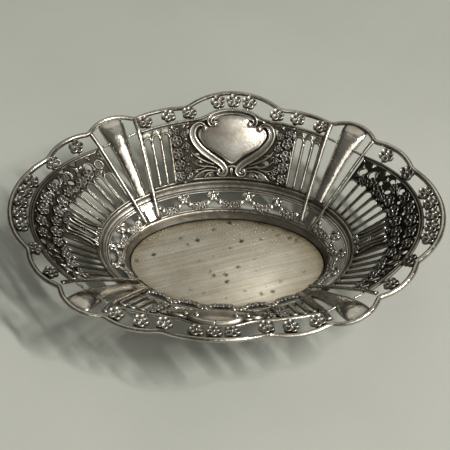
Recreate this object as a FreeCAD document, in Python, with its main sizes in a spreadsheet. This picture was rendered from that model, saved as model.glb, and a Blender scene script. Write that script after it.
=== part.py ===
import FreeCAD, Part
import math
import os

import Sketcher

Vector = FreeCAD.Vector

# A pierced oval silver dish: a flat base plate in a raised border, a low garland gallery, a moulded
# band, and steep pierced walls between eight ribs and four flutes, under a rail and a wavy rim wire.
# The dish stands on its base plate. X runs along the dish, Y across it and Z up.
# The origin is the centre of the underside.

DRIVING_SIZES = (
    ("overall_length", 240.0, "over the rim wire"),
    ("plate_length", 111.0, "flat base plate"),
    ("plate_width", 64.0, ""),
    ("plate_thickness", 1.2, ""),
    ("border_length", 118.2, "inner top edge of the border round the plate"),
    ("border_width", 71.4, ""),
    ("border_height", 5.9, ""),
    ("border_wall", 1.2, ""),
    ("band_low_length", 136.6, "inner lower edge of the moulded band"),
    ("band_low_width", 90.2, ""),
    ("band_low_height", 12.9, ""),
    ("band_length", 144.4, "inner upper edge of the moulded band"),
    ("band_width", 98.0, ""),
    ("band_height", 17.0, ""),
    ("band_wall", 1.5, ""),
    ("bead_depth", 0.5, "how far the band is hollowed between its two beads"),
    ("rail_length", 216.0, "inner rail, between the walls and the open rim zone"),
    ("rail_side_width", 149.2, "rail ellipse over the long sides"),
    ("rail_end_width", 141.0, "rail ellipse over the ends"),
    ("rail_rib_height", 40.0, "where the rail meets the ribs"),
    ("rail_side_height", 44.0, "middle of the long sides"),
    ("rail_end_height", 44.9, "middle of the ends"),
    ("rail_crown_reach", 4.8, "how far the rail bows out over the cartouche"),
    ("rail_crown_rise", 2.0, ""),
    ("rail_radius", 1.0, ""),
    ("rim_radius", 1.3, "rim wire"),
    ("side_crest_y", 90.0, "rim wire centre, middle of a long side"),
    ("side_crest_z", 49.6, ""),
    ("side_notch_x", 28.1, "shallow hollow beside the middle lobe"),
    ("side_notch_y", 81.5, ""),
    ("side_notch_z", 44.2, ""),
    ("shoulder_crest_x", 44.2, "lobe between the hollow and the side rib"),
    ("shoulder_crest_y", 79.9, ""),
    ("shoulder_crest_z", 42.8, ""),
    ("side_rib_x", 58.4, "rim at the rib on the side of the flute"),
    ("side_rib_y", 72.6, ""),
    ("side_rib_z", 42.4, ""),
    ("flute_crest_x", 74.1, "lobe round the flute"),
    ("flute_crest_y", 69.6, ""),
    ("flute_crest_z", 44.8, ""),
    ("end_rib_x", 83.0, "rim at the rib on the end of the flute"),
    ("end_rib_y", 56.3, ""),
    ("end_rib_z", 45.1, ""),
    ("flank_crest_x", 96.5, "lobe between the end rib and the end notch"),
    ("flank_crest_y", 47.8, ""),
    ("flank_crest_z", 46.4, ""),
    ("end_notch_x", 103.1, "sharp notch beside the end lobe"),
    ("end_notch_y", 33.6, ""),
    ("end_notch_z", 47.2, ""),
    ("end_crest_z", 47.0, ""),
    ("side_foot_x", 42.0, "foot of the side rib on the border"),
    ("side_foot_y", 27.0, ""),
    ("end_foot_x", 48.5, "foot of the end rib on the border"),
    ("end_foot_y", 21.5, ""),
    ("rib_width", 2.2, ""),
    ("rib_depth", 1.9, ""),
    ("rib_lift", 1.3, "underside of a rib over the middle of the pierced sheet"),
    ("sheet_thickness", 1.1, "pierced sheet of the walls and the gallery"),
    ("seat", 0.2, "solder gap between pieces"),
    ("flute_low_width", 7.0, "flute at the band"),
    ("flute_width", 15.0, "flute at its widest, near the rim"),
    ("flute_rise", 5.4, "height of its arch there"),
    ("flute_bow", 2.4, "how far the flute follows the wall above a straight line"),
    ("flute_wall", 0.9, ""),
    ("flute_head_gap", 1.9, "from the closed end of a flute to the middle of the rim wire"),
    ("tie_width", 1.5, "cross ties between the flutes and the ribs"),
    ("foot_cap_width", 7.4, "short pilaster under each flute"),
    ("foot_cap_rise", 2.4, ""),
    ("foot_shaft_width", 4.2, ""),
    ("foot_thickness", 1.4, ""),
    ("rosette_radius", 4.2, "five petalled rosettes of the rim zone"),
    ("rosette_rise", 2.0, ""),
    ("flower_radius", 3.1, "flowers on the pierced walls"),
    ("flower_rise", 1.8, ""),
    ("garland_width", 1.6, "garlands of the gallery"),
    ("edge_strip", 0.9, "strip left along the edges of the pierced sheets"),
    ("shield_width", 38.0, "plain convex shield of the cartouche"),
    ("shield_rise", 3.0, ""),
    ("scroll_width", 1.9, "scrollwork round the shield"),
    ("scroll_thickness", 1.7, ""),
    ("bracket_width", 1.3, "slender loops on the end walls"),
    ("bracket_thickness", 1.3, ""),
)

# Outlines and places as shares of the strip of wall or gallery that carries them. The first number
# runs from the middle of the strip (0) to its rib (1), the second from its foot (0) to its head (1).
SHEET_EDGE_SHARE = 0.965
RAIL_MARGIN_SHARE = 1.35
SIDE_SLOT_SHARES = ((0.935, 0.035, 0.82), (0.83, 0.042, 0.84), (0.725, 0.034, 0.80))
SIDE_SPANDREL_SHARES = ((0.885, 0.026, 0.93), (0.775, 0.026, 0.93))
SIDE_LEAF_GAP_SHARES = ((0.57, 0.10, 0.030), (0.50, 0.20, 0.018), (0.66, 0.22, 0.014),
                        (0.53, 0.42, 0.016), (0.655, 0.47, 0.016), (0.49, 0.60, 0.016),
                        (0.60, 0.75, 0.020), (0.655, 0.86, 0.016))
SIDE_SCROLL_GAP_SHARES = ((0.37, 0.11, 0.050), (0.24, 0.09, 0.032), (0.40, 0.33, 0.028),
                          (0.10, 0.10, 0.030))
SIDE_FLOWER_SHARES = ((0.56, 0.87), (0.565, 0.70), (0.65, 0.60), (0.56, 0.50), (0.62, 0.33))
END_SLOT_SHARES = ((0.925, 0.030, 0.58), (0.835, 0.032, 0.60), (0.745, 0.032, 0.58),
                   (0.655, 0.032, 0.55), (0.565, 0.032, 0.53), (0.475, 0.032, 0.53),
                   (0.385, 0.032, 0.55), (0.295, 0.032, 0.57), (0.205, 0.030, 0.55))
END_OVAL_SHARES = ((0.905, 0.74, 0.034), (0.80, 0.75, 0.036))
END_SPANDREL_SHARES = ((0.855, 0.026, 0.93), (0.70, 0.040, 0.92), (0.56, 0.040, 0.92))
END_LEAF_GAP_SHARES = ((0.67, 0.70, 0.020), (0.57, 0.72, 0.018), (0.46, 0.66, 0.018),
                       (0.45, 0.86, 0.020), (0.30, 0.78, 0.018), (0.17, 0.90, 0.014))
END_CENTRE_SLOT_SHARES = ((0.0, 0.045, 0.50), (0.1035, 0.045, 0.50))
BOUQUET_SHARES = ((0.0, 0.64), (0.0, 0.79), (0.115, 0.71), (0.10, 0.87), (0.225, 0.63),
                  (0.24, 0.80), (0.355, 0.70), (0.35, 0.88))
FLANK_FLOWER_SHARES = ((0.50, 0.79), (0.62, 0.64), (0.63, 0.83), (0.74, 0.70))
SIDE_ROSETTE_SHARES = (0.0, 0.165, 0.42, 0.66, 0.88)
END_ROSETTE_SHARES = (0.0, 0.13, 0.26, 0.56, 0.82)
ROSETTE_PLACE_SHARE = 0.55
SIDE_DROP_SHARES = (0.22, 0.60)
END_DROP_SHARES = (0.0, 0.50)
SWAG_HEAD_SHARE = 0.72
SWAG_SAG_SHARE = 0.45
SWAG_OVER_SHARES = (0.2, 0.35, 0.5, 0.65, 0.8)
SWAG_CORNER_SHARES = (0.72, 0.28)
SWAG_UNDER_SHARES = (0.12, 0.2, 0.28)
SHIELD_HALF_SHARES = ((0.0, 0.265), (0.14, 0.37), (0.33, 0.50), (0.47, 0.67), (0.50, 0.82),
                      (0.44, 0.93), (0.34, 0.955), (0.25, 0.98), (0.18, 1.03), (0.0, 1.07))
SHIELD_RING_SHARES = ((1.0, 0.35), (0.82, 0.72), (0.5, 0.93))
SHIELD_BACK_SHARE = 0.8
SCROLL_SIDE_SHARES = ((0.38, 0.88), (0.41, 0.94), (0.445, 0.86), (0.45, 0.70), (0.40, 0.54),
                      (0.27, 0.38), (0.13, 0.25), (0.08, 0.14), (0.15, 0.07))
SCROLL_LEAF_SHARES = (((0.27, 0.29), (0.33, 0.32), (0.41, 0.41), (0.47, 0.50)),
                      ((0.18, 0.20), (0.27, 0.22), (0.38, 0.24), (0.46, 0.33)),
                      ((0.18, 0.13), (0.26, 0.16), (0.38, 0.12), (0.45, 0.06)))
SCROLL_KNOT_SHARES = ((-0.04, 0.19), (0.0, 0.12), (0.04, 0.19), (0.0, 0.24))
LEAF_WIDTH_SHARE = 0.8
BRACKET_SHARES = ((0.18, 0.07), (0.15, 0.07), (0.10, 0.16), (0.105, 0.38), (0.07, 0.475),
                  (0.035, 0.38), (0.05, 0.16), (0.035, 0.06), (0.09, 0.055))
BRACKET_TIE_SHARES = ((-0.06, 0.24), (0.06, 0.24))
BAND_PROFILE_SHARES = ((0.0, 0.0), (0.26, 0.0), (0.5, 1.0), (0.74, 0.0), (1.0, 0.0))
LEAF_SHARES = ((0.0, -1.0), (1.0, 0.15), (0.0, 1.0), (-1.0, -0.15))
OVAL_SHARES = ((0.0, -1.0), (0.9, -0.4), (0.9, 0.4), (0.0, 1.0), (-0.9, 0.4), (-0.9, -0.4))
ARCH_SHARES = ((1.0, 0.0), (0.0, 1.6), (-1.0, 0.0))
# Along the flute, its width, and its bow above a straight line
FLUTE_SHARES = ((0.0, 0.0, 0.0), (0.35, 0.22, 0.7), (0.62, 0.5, 1.0), (0.82, 1.0, 0.75),
                (0.94, 0.85, 0.4), (1.0, 0.1, 0.1))
PETAL_NOTCH_SHARE = 0.66
PETAL_SWELL_SHARE = 0.68
PETAL_RISE_SHARE = 0.75
LEAF_HEIGHT_SHARE = 1.8
LEAF_LEAN_SHARE = 0.2
OVAL_HEIGHT_SHARE = 2.0
SPANDREL_HEIGHT_SHARE = 2.2
FLARE_SHARE = 0.25
TANGENT_SHARE = 0.02
RAIL_CROWN_SHARE = 0.26
SEWING_SHARE = 0.0001

# Counts
PETALS = 5
ARC_STEPS = 4
ARCH_STEPS = 5
WIRE_SIDES = 6
RING_STEPS = 40
RAIL_STEPS = 8
SIDE_CELLS = 8
END_CELLS = 6
GALLERY_CELLS = 3
CURVE_STEPS = 13
LEAF_STEPS = 6
PLAN_DIGITS = 4

doc = FreeCAD.newDocument("pierced_dish")

# Driving dimensions
sheet = doc.addObject("Spreadsheet::Sheet", "sizes")


def write_size(row, alias, value, note):
    sheet.set("A%d" % row, alias)
    sheet.set("B%d" % row, str(value))
    sheet.setAlias("B%d" % row, alias)
    if note:
        sheet.set("C%d" % row, note)


for row, (alias, value, note) in enumerate(DRIVING_SIZES, start=1):
    write_size(row, alias, value, note)
doc.recompute()


def size(alias):
    return float(sheet.get(alias))


SUB_PARTS = []


def keep(thing, label):
    """Name a finished sub-part, which is also the name of its file."""
    thing.Label = label
    SUB_PARTS.append(thing)
    return thing


def keep_shape(shape, label):
    """A sub-part whose shape follows the curved walls and is worked out by the functions below."""
    thing = doc.addObject("Part::Feature", label)
    thing.Shape = shape
    thing.Placement = FreeCAD.Placement()
    return keep(thing, label)


# Ellipses of the dish
class Ring:
    """One level ellipse of the dish, from the named sizes of its length, width and height."""

    def __init__(self, length, width, height):
        self.length = length
        self.width = width
        self.height = height

    def point(self, angle):
        across = math.cos(angle) * size(self.length) / 2
        along = math.sin(angle) * size(self.width) / 2
        return Vector(across, along, size(self.height))

    def angle_on_line(self, start, end):
        """The ellipse angle where a plan line from start, inside, to end leaves the ellipse."""
        half_length = size(self.length) / 2
        half_width = size(self.width) / 2
        step_x = (end.x - start.x) / half_length
        step_y = (end.y - start.y) / half_width
        from_x = start.x / half_length
        from_y = start.y / half_width
        square = step_x ** 2 + step_y ** 2
        cross = from_x * step_x + from_y * step_y
        rest = from_x ** 2 + from_y ** 2 - 1
        share = (-cross + math.sqrt(cross ** 2 - square * rest)) / square
        return math.atan2(from_y + share * step_y, from_x + share * step_x)


border_ring = Ring("border_length", "border_width", "border_height")
band_low_ring = Ring("band_low_length", "band_low_width", "band_low_height")
band_ring = Ring("band_length", "band_width", "band_height")
rail_side_ring = Ring("rail_length", "rail_side_width", "rail_rib_height")
rail_end_ring = Ring("rail_length", "rail_end_width", "rail_rib_height")


def named_point(name, height_name=None):
    """A plan point of the first quarter from its two or three named sizes."""
    height = size(height_name) if height_name else 0.0
    return Vector(size(name + "_x"), size(name + "_y"), height)


def mirrored(point, sign_x, sign_y):
    return Vector(point.x * sign_x, point.y * sign_y, point.z)


side_foot = named_point("side_foot", "border_height")
end_foot = named_point("end_foot", "border_height")
side_rib_top = named_point("side_rib", "side_rib_z")
end_rib_top = named_point("end_rib", "end_rib_z")


# Rim wire: three point arcs from notch to notch
def arc_points(start, crest, end, steps):
    """Points along the arc through three points, without its last one."""
    arc = Part.Arc(start, crest, end)
    return arc.discretize(Number=steps + 1)[:-1]


def rim_quarter():
    """Centre line of the rim wire from the middle of an end to the middle of a long side."""
    end_crest = Vector(size("overall_length") / 2 - size("rim_radius"), 0, size("end_crest_z"))
    end_notch = named_point("end_notch", "end_notch_z")
    side_notch = named_point("side_notch", "side_notch_z")
    side_crest = Vector(0, size("side_crest_y"), size("side_crest_z"))
    end_lobe = arc_points(mirrored(end_notch, 1, -1), end_crest, end_notch, 2 * ARC_STEPS)
    side_lobe = arc_points(side_notch, side_crest, mirrored(side_notch, -1, 1), 2 * ARC_STEPS)
    points = end_lobe[ARC_STEPS:]
    points += arc_points(end_notch, named_point("flank_crest", "flank_crest_z"), end_rib_top,
                         ARC_STEPS)
    points += arc_points(end_rib_top, named_point("flute_crest", "flute_crest_z"), side_rib_top,
                         ARC_STEPS)
    points += arc_points(side_rib_top, named_point("shoulder_crest", "shoulder_crest_z"),
                         side_notch, ARC_STEPS)
    return points + side_lobe[:ARC_STEPS + 1]


def rim_loop():
    """The whole centre line, as a closed loop without a repeated point."""
    quarter = rim_quarter()
    back_quarter = [mirrored(point, -1, 1) for point in reversed(quarter)]
    half = quarter[:-1] + back_quarter
    other_half = [mirrored(point, 1, -1) for point in reversed(half)]
    return half[:-1] + other_half[:-1]


# Polyhedral pieces
def solid_from_facets(points, facets):
    """A closed solid of flat three cornered faces, whose faces look outward."""
    skin = Part.Shape()
    skin.makeShapeFromMesh((points, facets), SEWING_SHARE * size("seat"))
    return Part.makeSolid(skin.removeSplitter())


def swept(sections, closed=False):
    """A solid through sections that have as many points each, all turned the same way.

    An end of an open solid is closed by steps across its section, so that an arch stays an arch.
    """
    sides = len(sections[0])
    points = [point for section in sections for point in section]
    facets = []
    for index in range(len(sections) if closed else len(sections) - 1):
        here = index * sides
        there = (index + 1) % len(sections) * sides
        for side in range(sides):
            other = (side + 1) % sides
            facets.append((here + side, there + side, there + other))
            facets.append((here + side, there + other, here + other))
    if not closed:
        for start, turned in ((0, False), ((len(sections) - 1) * sides, True)):
            for step in range(sides // 2 - 1):
                near = start + step
                far = start + sides - 1 - step
                pair = [(near, near + 1, far - 1), (near, far - 1, far)]
                facets += [facet[::-1] for facet in pair] if turned else pair
    return solid_from_facets(points, facets)


def tube(path, radius, closed=False):
    """A wire of even thickness along a list of points."""
    count = len(path)
    sections = []
    for index, point in enumerate(path):
        before = path[index - 1] if closed or index > 0 else point
        after = path[(index + 1) % count] if closed or index < count - 1 else point
        forward = (after - before).normalize()
        sideways = forward.cross(Vector(0, 0, 1)).normalize()
        upward = sideways.cross(forward)
        section = []
        for side in range(WIRE_SIDES):
            turn = 2 * math.pi * (side + 0.5) / WIRE_SIDES
            section.append(point + sideways * (radius * math.cos(turn))
                           + upward * (radius * math.sin(turn)))
        sections.append(section)
    return swept(sections, closed)


def flower(radius, rise, placement):
    """A five petalled flower, flat below, whose petals rise to a raised heart."""
    points = []
    for index in range(2 * PETALS):
        reach = radius if index % 2 == 0 else radius * PETAL_NOTCH_SHARE
        turn = math.pi * index / PETALS
        points.append(Vector(reach * math.cos(turn), reach * math.sin(turn), 0))
    for index in range(PETALS):
        turn = math.pi * 2 * index / PETALS
        reach = radius * PETAL_SWELL_SHARE
        points.append(Vector(reach * math.cos(turn), reach * math.sin(turn),
                             rise * PETAL_RISE_SHARE))
    points.append(Vector(0, 0, rise))
    first_swell = 2 * PETALS
    centre = 3 * PETALS
    facets = [(0, index + 1, index) for index in range(1, 2 * PETALS - 1)]
    for index in range(PETALS):
        tip = 2 * index
        notch = tip + 1
        next_tip = (tip + 2) % (2 * PETALS)
        here = first_swell + index
        after = first_swell + (index + 1) % PETALS
        facets.append((tip, notch, here))
        facets.append((notch, next_tip, after))
        facets.append((notch, after, here))
        facets.append((here, after, centre))
    return solid_from_facets([placement.multVec(point) for point in points], facets)


# Strips of wall and gallery between two ribs
class Strip:
    """A stretch of the dish between a lower and an upper ring, measured by two shares.

    Across runs from -1 at one rib over 0 in the middle to 1 at the other rib, and up from 0 at
    the lower ring to 1 at the upper ring. A flat plan of the strip in real sizes goes with it.
    """

    def __init__(self, side, low_ring, high_ring, foot, rib_top, middle_height=None,
                 cells=GALLERY_CELLS):
        self.low_ring = low_ring
        self.high_ring = high_ring
        self.turn = {"right": 0.0, "back": 0.5, "left": 1.0, "front": 1.5}[side] * math.pi
        self.on_end = side in ("right", "left")
        self.low_half = self.half_angle(low_ring, foot, rib_top)
        self.high_half = self.half_angle(high_ring, foot, rib_top)
        self.middle_height = middle_height
        self.cells = cells
        steps = [index / RAIL_STEPS for index in range(RAIL_STEPS + 1)]
        middles = [self.point(share, 0.5) for share in steps]
        self.half_run = sum(middles[index].distanceToPoint(middles[index + 1])
                            for index in range(RAIL_STEPS))
        self.slant = self.point(0, 0).distanceToPoint(self.point(0, 1))

    def half_angle(self, ring, foot, rib_top):
        angle = ring.angle_on_line(foot, rib_top)
        return angle if self.on_end else math.pi / 2 - angle

    def point(self, across, up):
        low = self.low_ring.point(self.turn + across * self.low_half)
        high = self.high_ring.point(self.turn + across * self.high_half)
        if self.middle_height:
            rise = size(self.middle_height) - high.z
            high.z += rise * (1 - across ** 2)
        if up <= 1:
            return low + (high - low) * up
        reach = (up - 1) * self.slant
        outward = Vector(math.cos(self.turn), math.sin(self.turn), FLARE_SHARE)
        return high + outward * reach

    def normal(self, across, up):
        """Direction out of the sheet, into the dish and up."""
        step = TANGENT_SHARE
        along = self.point(across + step, 1) - self.point(across - step, 1)
        rising = self.point(across, 1) - self.point(across, 0)
        return rising.cross(along).normalize()

    def plan(self, across, up):
        return Vector(across * self.half_run, up * self.slant, 0)

    def place(self, spot, offset):
        """A point of the flat plan, brought onto the strip at an offset from its middle surface."""
        across = spot.x / self.half_run
        up = spot.y / self.slant
        return self.point(across, up) + self.normal(across, up) * offset

    def frame(self, across, up, offset):
        """A placement with Z out of the sheet, for a piece that lies on it."""
        out = self.normal(across, up)
        step = TANGENT_SHARE
        along = (self.point(across + step, up) - self.point(across - step, up)).normalize()
        origin = self.point(across, up) + out * offset
        return FreeCAD.Placement(origin, FreeCAD.Rotation(along, out.cross(along), out, "ZXY"))


def polygon_face(points):
    """A flat face on the plan, with its outline turned to run one way round."""
    area = 0.0
    for index, point in enumerate(points):
        before = points[index - 1]
        area += before.x * point.y - point.x * before.y
    outline = list(points) if area > 0 else list(points)[::-1]
    return Part.Face(Part.makePolygon(outline + [outline[0]]))


def smooth_points(points, steps):
    curve = Part.BSplineCurve()
    curve.interpolate(points)
    return curve.discretize(Number=steps)


def stroke(points, width):
    """A flat ribbon of even width along a line of points."""
    left = []
    right = []
    for index, point in enumerate(points):
        before = points[max(index - 1, 0)]
        after = points[min(index + 1, len(points) - 1)]
        forward = (after - before).normalize()
        sideways = Vector(-forward.y, forward.x, 0) * (width / 2)
        left.append(point + sideways)
        right.append(point - sideways)
    return polygon_face(left + right[::-1])


def leaf(centre, half_width, half_height, outline_shares, lean=0.0):
    """A small pointed opening, leaning to one side by a share of its height."""
    points = []
    for part_x, part_y in outline_shares:
        points.append(centre + Vector(part_x * half_width + part_y * lean * half_height,
                                      part_y * half_height, 0))
    return polygon_face(points)


def round_topped(centre_x, half_width, foot, head):
    """A slot with a pointed round top, as pierced between two bars."""
    spring = head - ARCH_SHARES[1][1] * half_width
    points = [Vector(centre_x - half_width, foot, 0), Vector(centre_x + half_width, foot, 0)]
    for part_x, part_y in ARCH_SHARES:
        points.append(Vector(centre_x + part_x * half_width, spring + part_y * half_width, 0))
    return polygon_face(points)


def flat_triangles(region, strip):
    """Corners and triangles of a flat region, divided so that it can follow the curved strip."""
    corners = []
    index_of = {}
    triangles = []
    cell = 2 * strip.half_run / strip.cells
    for step in range(strip.cells):
        start = -strip.half_run + step * cell
        box = Part.makePlane(cell, 3 * strip.slant, Vector(start, -strip.slant, 0))
        for face in region.common(box).Faces:
            spots, facets = face.tessellate(size("seat"))
            numbers = []
            for spot in spots:
                key = (round(spot.x, PLAN_DIGITS), round(spot.y, PLAN_DIGITS))
                if key not in index_of:
                    index_of[key] = len(corners)
                    corners.append(Vector(key[0], key[1], 0))
                numbers.append(index_of[key])
            for facet in facets:
                one, two, three = (numbers[number] for number in facet)
                turn = (corners[two] - corners[one]).cross(corners[three] - corners[one]).z
                if len({one, two, three}) == 3 and abs(turn) > 0:
                    triangles.append((one, two, three) if turn > 0 else (one, three, two))
    return corners, triangles


def curved_sheet(region, strip, low, high):
    """A flat region bent onto a strip as one solid, from one offset to another."""
    corners, triangles = flat_triangles(region, strip)
    count = len(corners)
    points = [strip.place(corner, high) for corner in corners]
    points += [strip.place(corner, low) for corner in corners]
    facets = []
    open_edges = set()
    for one, two, three in triangles:
        facets.append((one, two, three))
        facets.append((count + three, count + two, count + one))
        for edge in ((one, two), (two, three), (three, one)):
            if (edge[1], edge[0]) in open_edges:
                open_edges.remove((edge[1], edge[0]))
            else:
                open_edges.add(edge)
    for start, end in sorted(open_edges):
        facets.append((start, count + start, count + end))
        facets.append((start, count + end, end))
    return solid_from_facets(points, facets)


def one_region(faces):
    """Flat faces that overlap, joined into one region."""
    return faces[0].fuse(faces[1:]).removeSplitter()


SIDES = ("front", "back")
ENDS = ("left", "right")
wall_strips = {}
gallery_strips = {}
for side in SIDES:
    wall_strips[side] = Strip(side, band_ring, rail_side_ring, side_foot, side_rib_top,
                              "rail_side_height", SIDE_CELLS)
    gallery_strips[side] = Strip(side, border_ring, band_low_ring, side_foot, side_rib_top)
for side in ENDS:
    wall_strips[side] = Strip(side, band_ring, rail_end_ring, end_foot, end_rib_top,
                              "rail_end_height", END_CELLS)
    gallery_strips[side] = Strip(side, border_ring, band_low_ring, end_foot, end_rib_top)


# Bodies with sketches
def origin_plane(body, role):
    return [feature for feature in body.Origin.OriginFeatures if feature.Role == role][0]


def new_sketch(body, name, role):
    sketch = body.newObject("Sketcher::SketchObject", name)
    sketch.AttachmentSupport = [(origin_plane(body, role), "")]
    sketch.MapMode = "FlatFace"
    return sketch


def draw_polygon(sketch, corner_texts):
    """A closed outline whose corners are held by expressions for their two distances."""
    count = len(corner_texts)
    for index in range(count):
        turn = 2 * math.pi * index / count
        after = 2 * math.pi * (index + 1) / count
        start = Vector(math.cos(turn), math.sin(turn), 0)
        end = Vector(math.cos(after), math.sin(after), 0)
        sketch.addGeometry(Part.LineSegment(start, end), False)
    for index in range(count):
        other = (index + 1) % count
        sketch.addConstraint(Sketcher.Constraint("Coincident", index, 2, other, 1))
    for index, texts in enumerate(corner_texts):
        for kind, text in zip(("DistanceX", "DistanceY"), texts):
            number = sketch.addConstraint(Sketcher.Constraint(kind, -1, 1, index, 1, 1.0))
            sketch.setExpression("Constraints[%d]" % number, text)


def draw_ellipse(sketch, length_text, width_text):
    shape = Part.Ellipse(Vector(2, 0, 0), Vector(0, 1, 0), Vector(0, 0, 0))
    number = sketch.addGeometry(shape, False)
    sketch.exposeInternalGeometry(number)
    sketch.addConstraint(Sketcher.Constraint("Coincident", number, 3, -1, 1))
    sketch.addConstraint(Sketcher.Constraint("Horizontal", number + 1))
    for axis, text in ((number + 1, length_text), (number + 2, width_text)):
        constraint = sketch.addConstraint(Sketcher.Constraint("Distance", axis, 1.0))
        sketch.setExpression("Constraints[%d]" % constraint, text)


# Base plate
def make_base_plate():
    body = doc.addObject("PartDesign::Body", "base_plate")
    outline = new_sketch(body, "plate_outline", "XY_Plane")
    draw_ellipse(outline, "sizes.plate_length", "sizes.plate_width")
    pad = body.newObject("PartDesign::Pad", "plate")
    pad.Profile = outline
    pad.setExpression("Length", "sizes.plate_thickness")
    keep(body, "base_plate")


# Rings: the border round the plate and the moulded band
def ring_sections(corners):
    """One profile round the dish, from corners given as length, width and height."""
    sections = []
    for step in range(RING_STEPS):
        turn = 2 * math.pi * step / RING_STEPS
        sections.append([Vector(math.cos(turn) * length / 2, math.sin(turn) * width / 2, height)
                         for length, width, height in corners])
    return sections


def make_base_border():
    fit = 2 * size("seat")
    wall = 2 * size("border_wall")
    low_length = size("plate_length") + fit
    low_width = size("plate_width") + fit
    high_length = size("border_length")
    high_width = size("border_width")
    height = size("border_height")
    corners = [(low_length, low_width, 0), (high_length, high_width, height),
               (high_length + wall, high_width + wall, height),
               (low_length + wall, low_width + wall, 0)]
    keep_shape(swept(ring_sections(corners), True), "base_border")


def make_middle_band():
    """Two beads along the edges and a hollow between them."""
    low = Vector(size("band_low_length"), size("band_low_width"), size("band_low_height"))
    high = Vector(size("band_length"), size("band_width"), size("band_height"))
    wall = Vector(2 * size("band_wall"), 2 * size("band_wall"), 0)
    hollow = Vector(2 * size("bead_depth"), 2 * size("bead_depth"), 0)
    corners = [low + (high - low) * rise_share + hollow * depth_share
               for rise_share, depth_share in BAND_PROFILE_SHARES]
    corners += [high + wall, low + wall]
    keep_shape(swept(ring_sections(corners), True), "middle_band")


# Ribs: straight in plan, from the border over the band to the rim
def crossing_text(length_alias, width_alias, foot, top):
    """How far along a rib's plan line, as a share of it, the line crosses an ellipse."""
    from_x = "(2 * sizes.%s_x / sizes.%s)" % (foot, length_alias)
    from_y = "(2 * sizes.%s_y / sizes.%s)" % (foot, width_alias)
    step_x = "(2 * (sizes.%s_x - sizes.%s_x) / sizes.%s)" % (top, foot, length_alias)
    step_y = "(2 * (sizes.%s_y - sizes.%s_y) / sizes.%s)" % (top, foot, width_alias)
    square = "(%s ^ 2 + %s ^ 2)" % (step_x, step_y)
    cross = "(%s * %s + %s * %s)" % (from_x, step_x, from_y, step_y)
    rest = "(%s ^ 2 + %s ^ 2 - 1)" % (from_x, from_y)
    return "((sqrt(%s ^ 2 - %s * %s) - %s) / %s)" % (cross, square, rest, cross, square)


def make_rib(label, foot, top, rail_width_alias, sign_x, sign_y):
    body = doc.addObject("PartDesign::Body", label)
    profile = new_sketch(body, label + "_profile", "XZ_Plane")
    run = "sqrt((sizes.%s_x - sizes.%s_x) ^ 2 + (sizes.%s_y - sizes.%s_y) ^ 2)" % (
        top, foot, top, foot)
    band = "%s * %s" % (run, crossing_text("band_length", "band_width", foot, top))
    rail = "%s * %s" % (run, crossing_text("rail_length", rail_width_alias, foot, top))
    end = "%s - sizes.rim_radius - sizes.seat" % run
    path = (("0 * sizes.seat", "sizes.border_height"), (band, "sizes.band_height"),
            (rail, "sizes.rail_rib_height"), (end, "sizes.%s_z" % top))
    under = [(along, height + " + sizes.rib_lift") for along, height in path]
    over = [(along, height + " + sizes.rib_lift + sizes.rib_depth") for along, height in path]
    draw_polygon(profile, under + over[::-1])
    pad = body.newObject("PartDesign::Pad", label + "_bar")
    pad.Profile = profile
    pad.setExpression("Length", "sizes.rib_width")
    pad.Midplane = True
    start = mirrored(named_point(foot), sign_x, sign_y)
    finish = mirrored(named_point(top), sign_x, sign_y)
    turn = math.degrees(math.atan2(finish.y - start.y, finish.x - start.x))
    body.Placement = FreeCAD.Placement(start, FreeCAD.Rotation(Vector(0, 0, 1), turn))
    keep(body, label)


# Flutes
def flute_ends():
    """Foot of a flute on the band and its head inside the rim lobe, in the first quarter."""
    side_angle = band_ring.angle_on_line(side_foot, side_rib_top)
    end_angle = band_ring.angle_on_line(end_foot, end_rib_top)
    foot = band_ring.point((side_angle + end_angle) / 2)
    crest = named_point("flute_crest", "flute_crest_z")
    outward = (crest - foot).normalize()
    return foot + outward * size("seat"), crest - outward * size("flute_head_gap")


def flute_arch(placement, along, half, rise, base):
    """Points of one faceted arch across a flute."""
    points = []
    for step in range(ARCH_STEPS + 1):
        turn = math.pi * step / ARCH_STEPS
        spot = Vector(along, half * math.cos(turn), base + rise * math.sin(turn))
        points.append(placement.multVec(spot))
    return points


def make_flute(label, sign_x, sign_y):
    """A trumpet of sheet silver, open below, that widens to a closed dome at the rim."""
    foot, head = flute_ends()
    start = mirrored(foot, sign_x, sign_y)
    along = (mirrored(head, sign_x, sign_y) - start).normalize()
    sideways = Vector(0, 0, 1).cross(along).normalize()
    turned = FreeCAD.Rotation(along, sideways, along.cross(sideways), "ZXY")
    placement = FreeCAD.Placement(start, turned)
    length = foot.distanceToPoint(head)
    low_half = size("flute_low_width") / 2
    high_half = size("flute_width") / 2
    wall = size("flute_wall")
    sections = []
    for along_share, width_share, bow_share in FLUTE_SHARES:
        half = low_half + (high_half - low_half) * width_share
        rise = half * size("flute_rise") / high_half
        base = size("flute_bow") * bow_share
        outer = flute_arch(placement, length * along_share, half, rise, base)
        inner_along = min(length * along_share, length - wall)
        inner = flute_arch(placement, inner_along, half - wall, rise - wall, base)
        sections.append(outer + inner[::-1])
    keep_shape(swept(sections), label)


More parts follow.
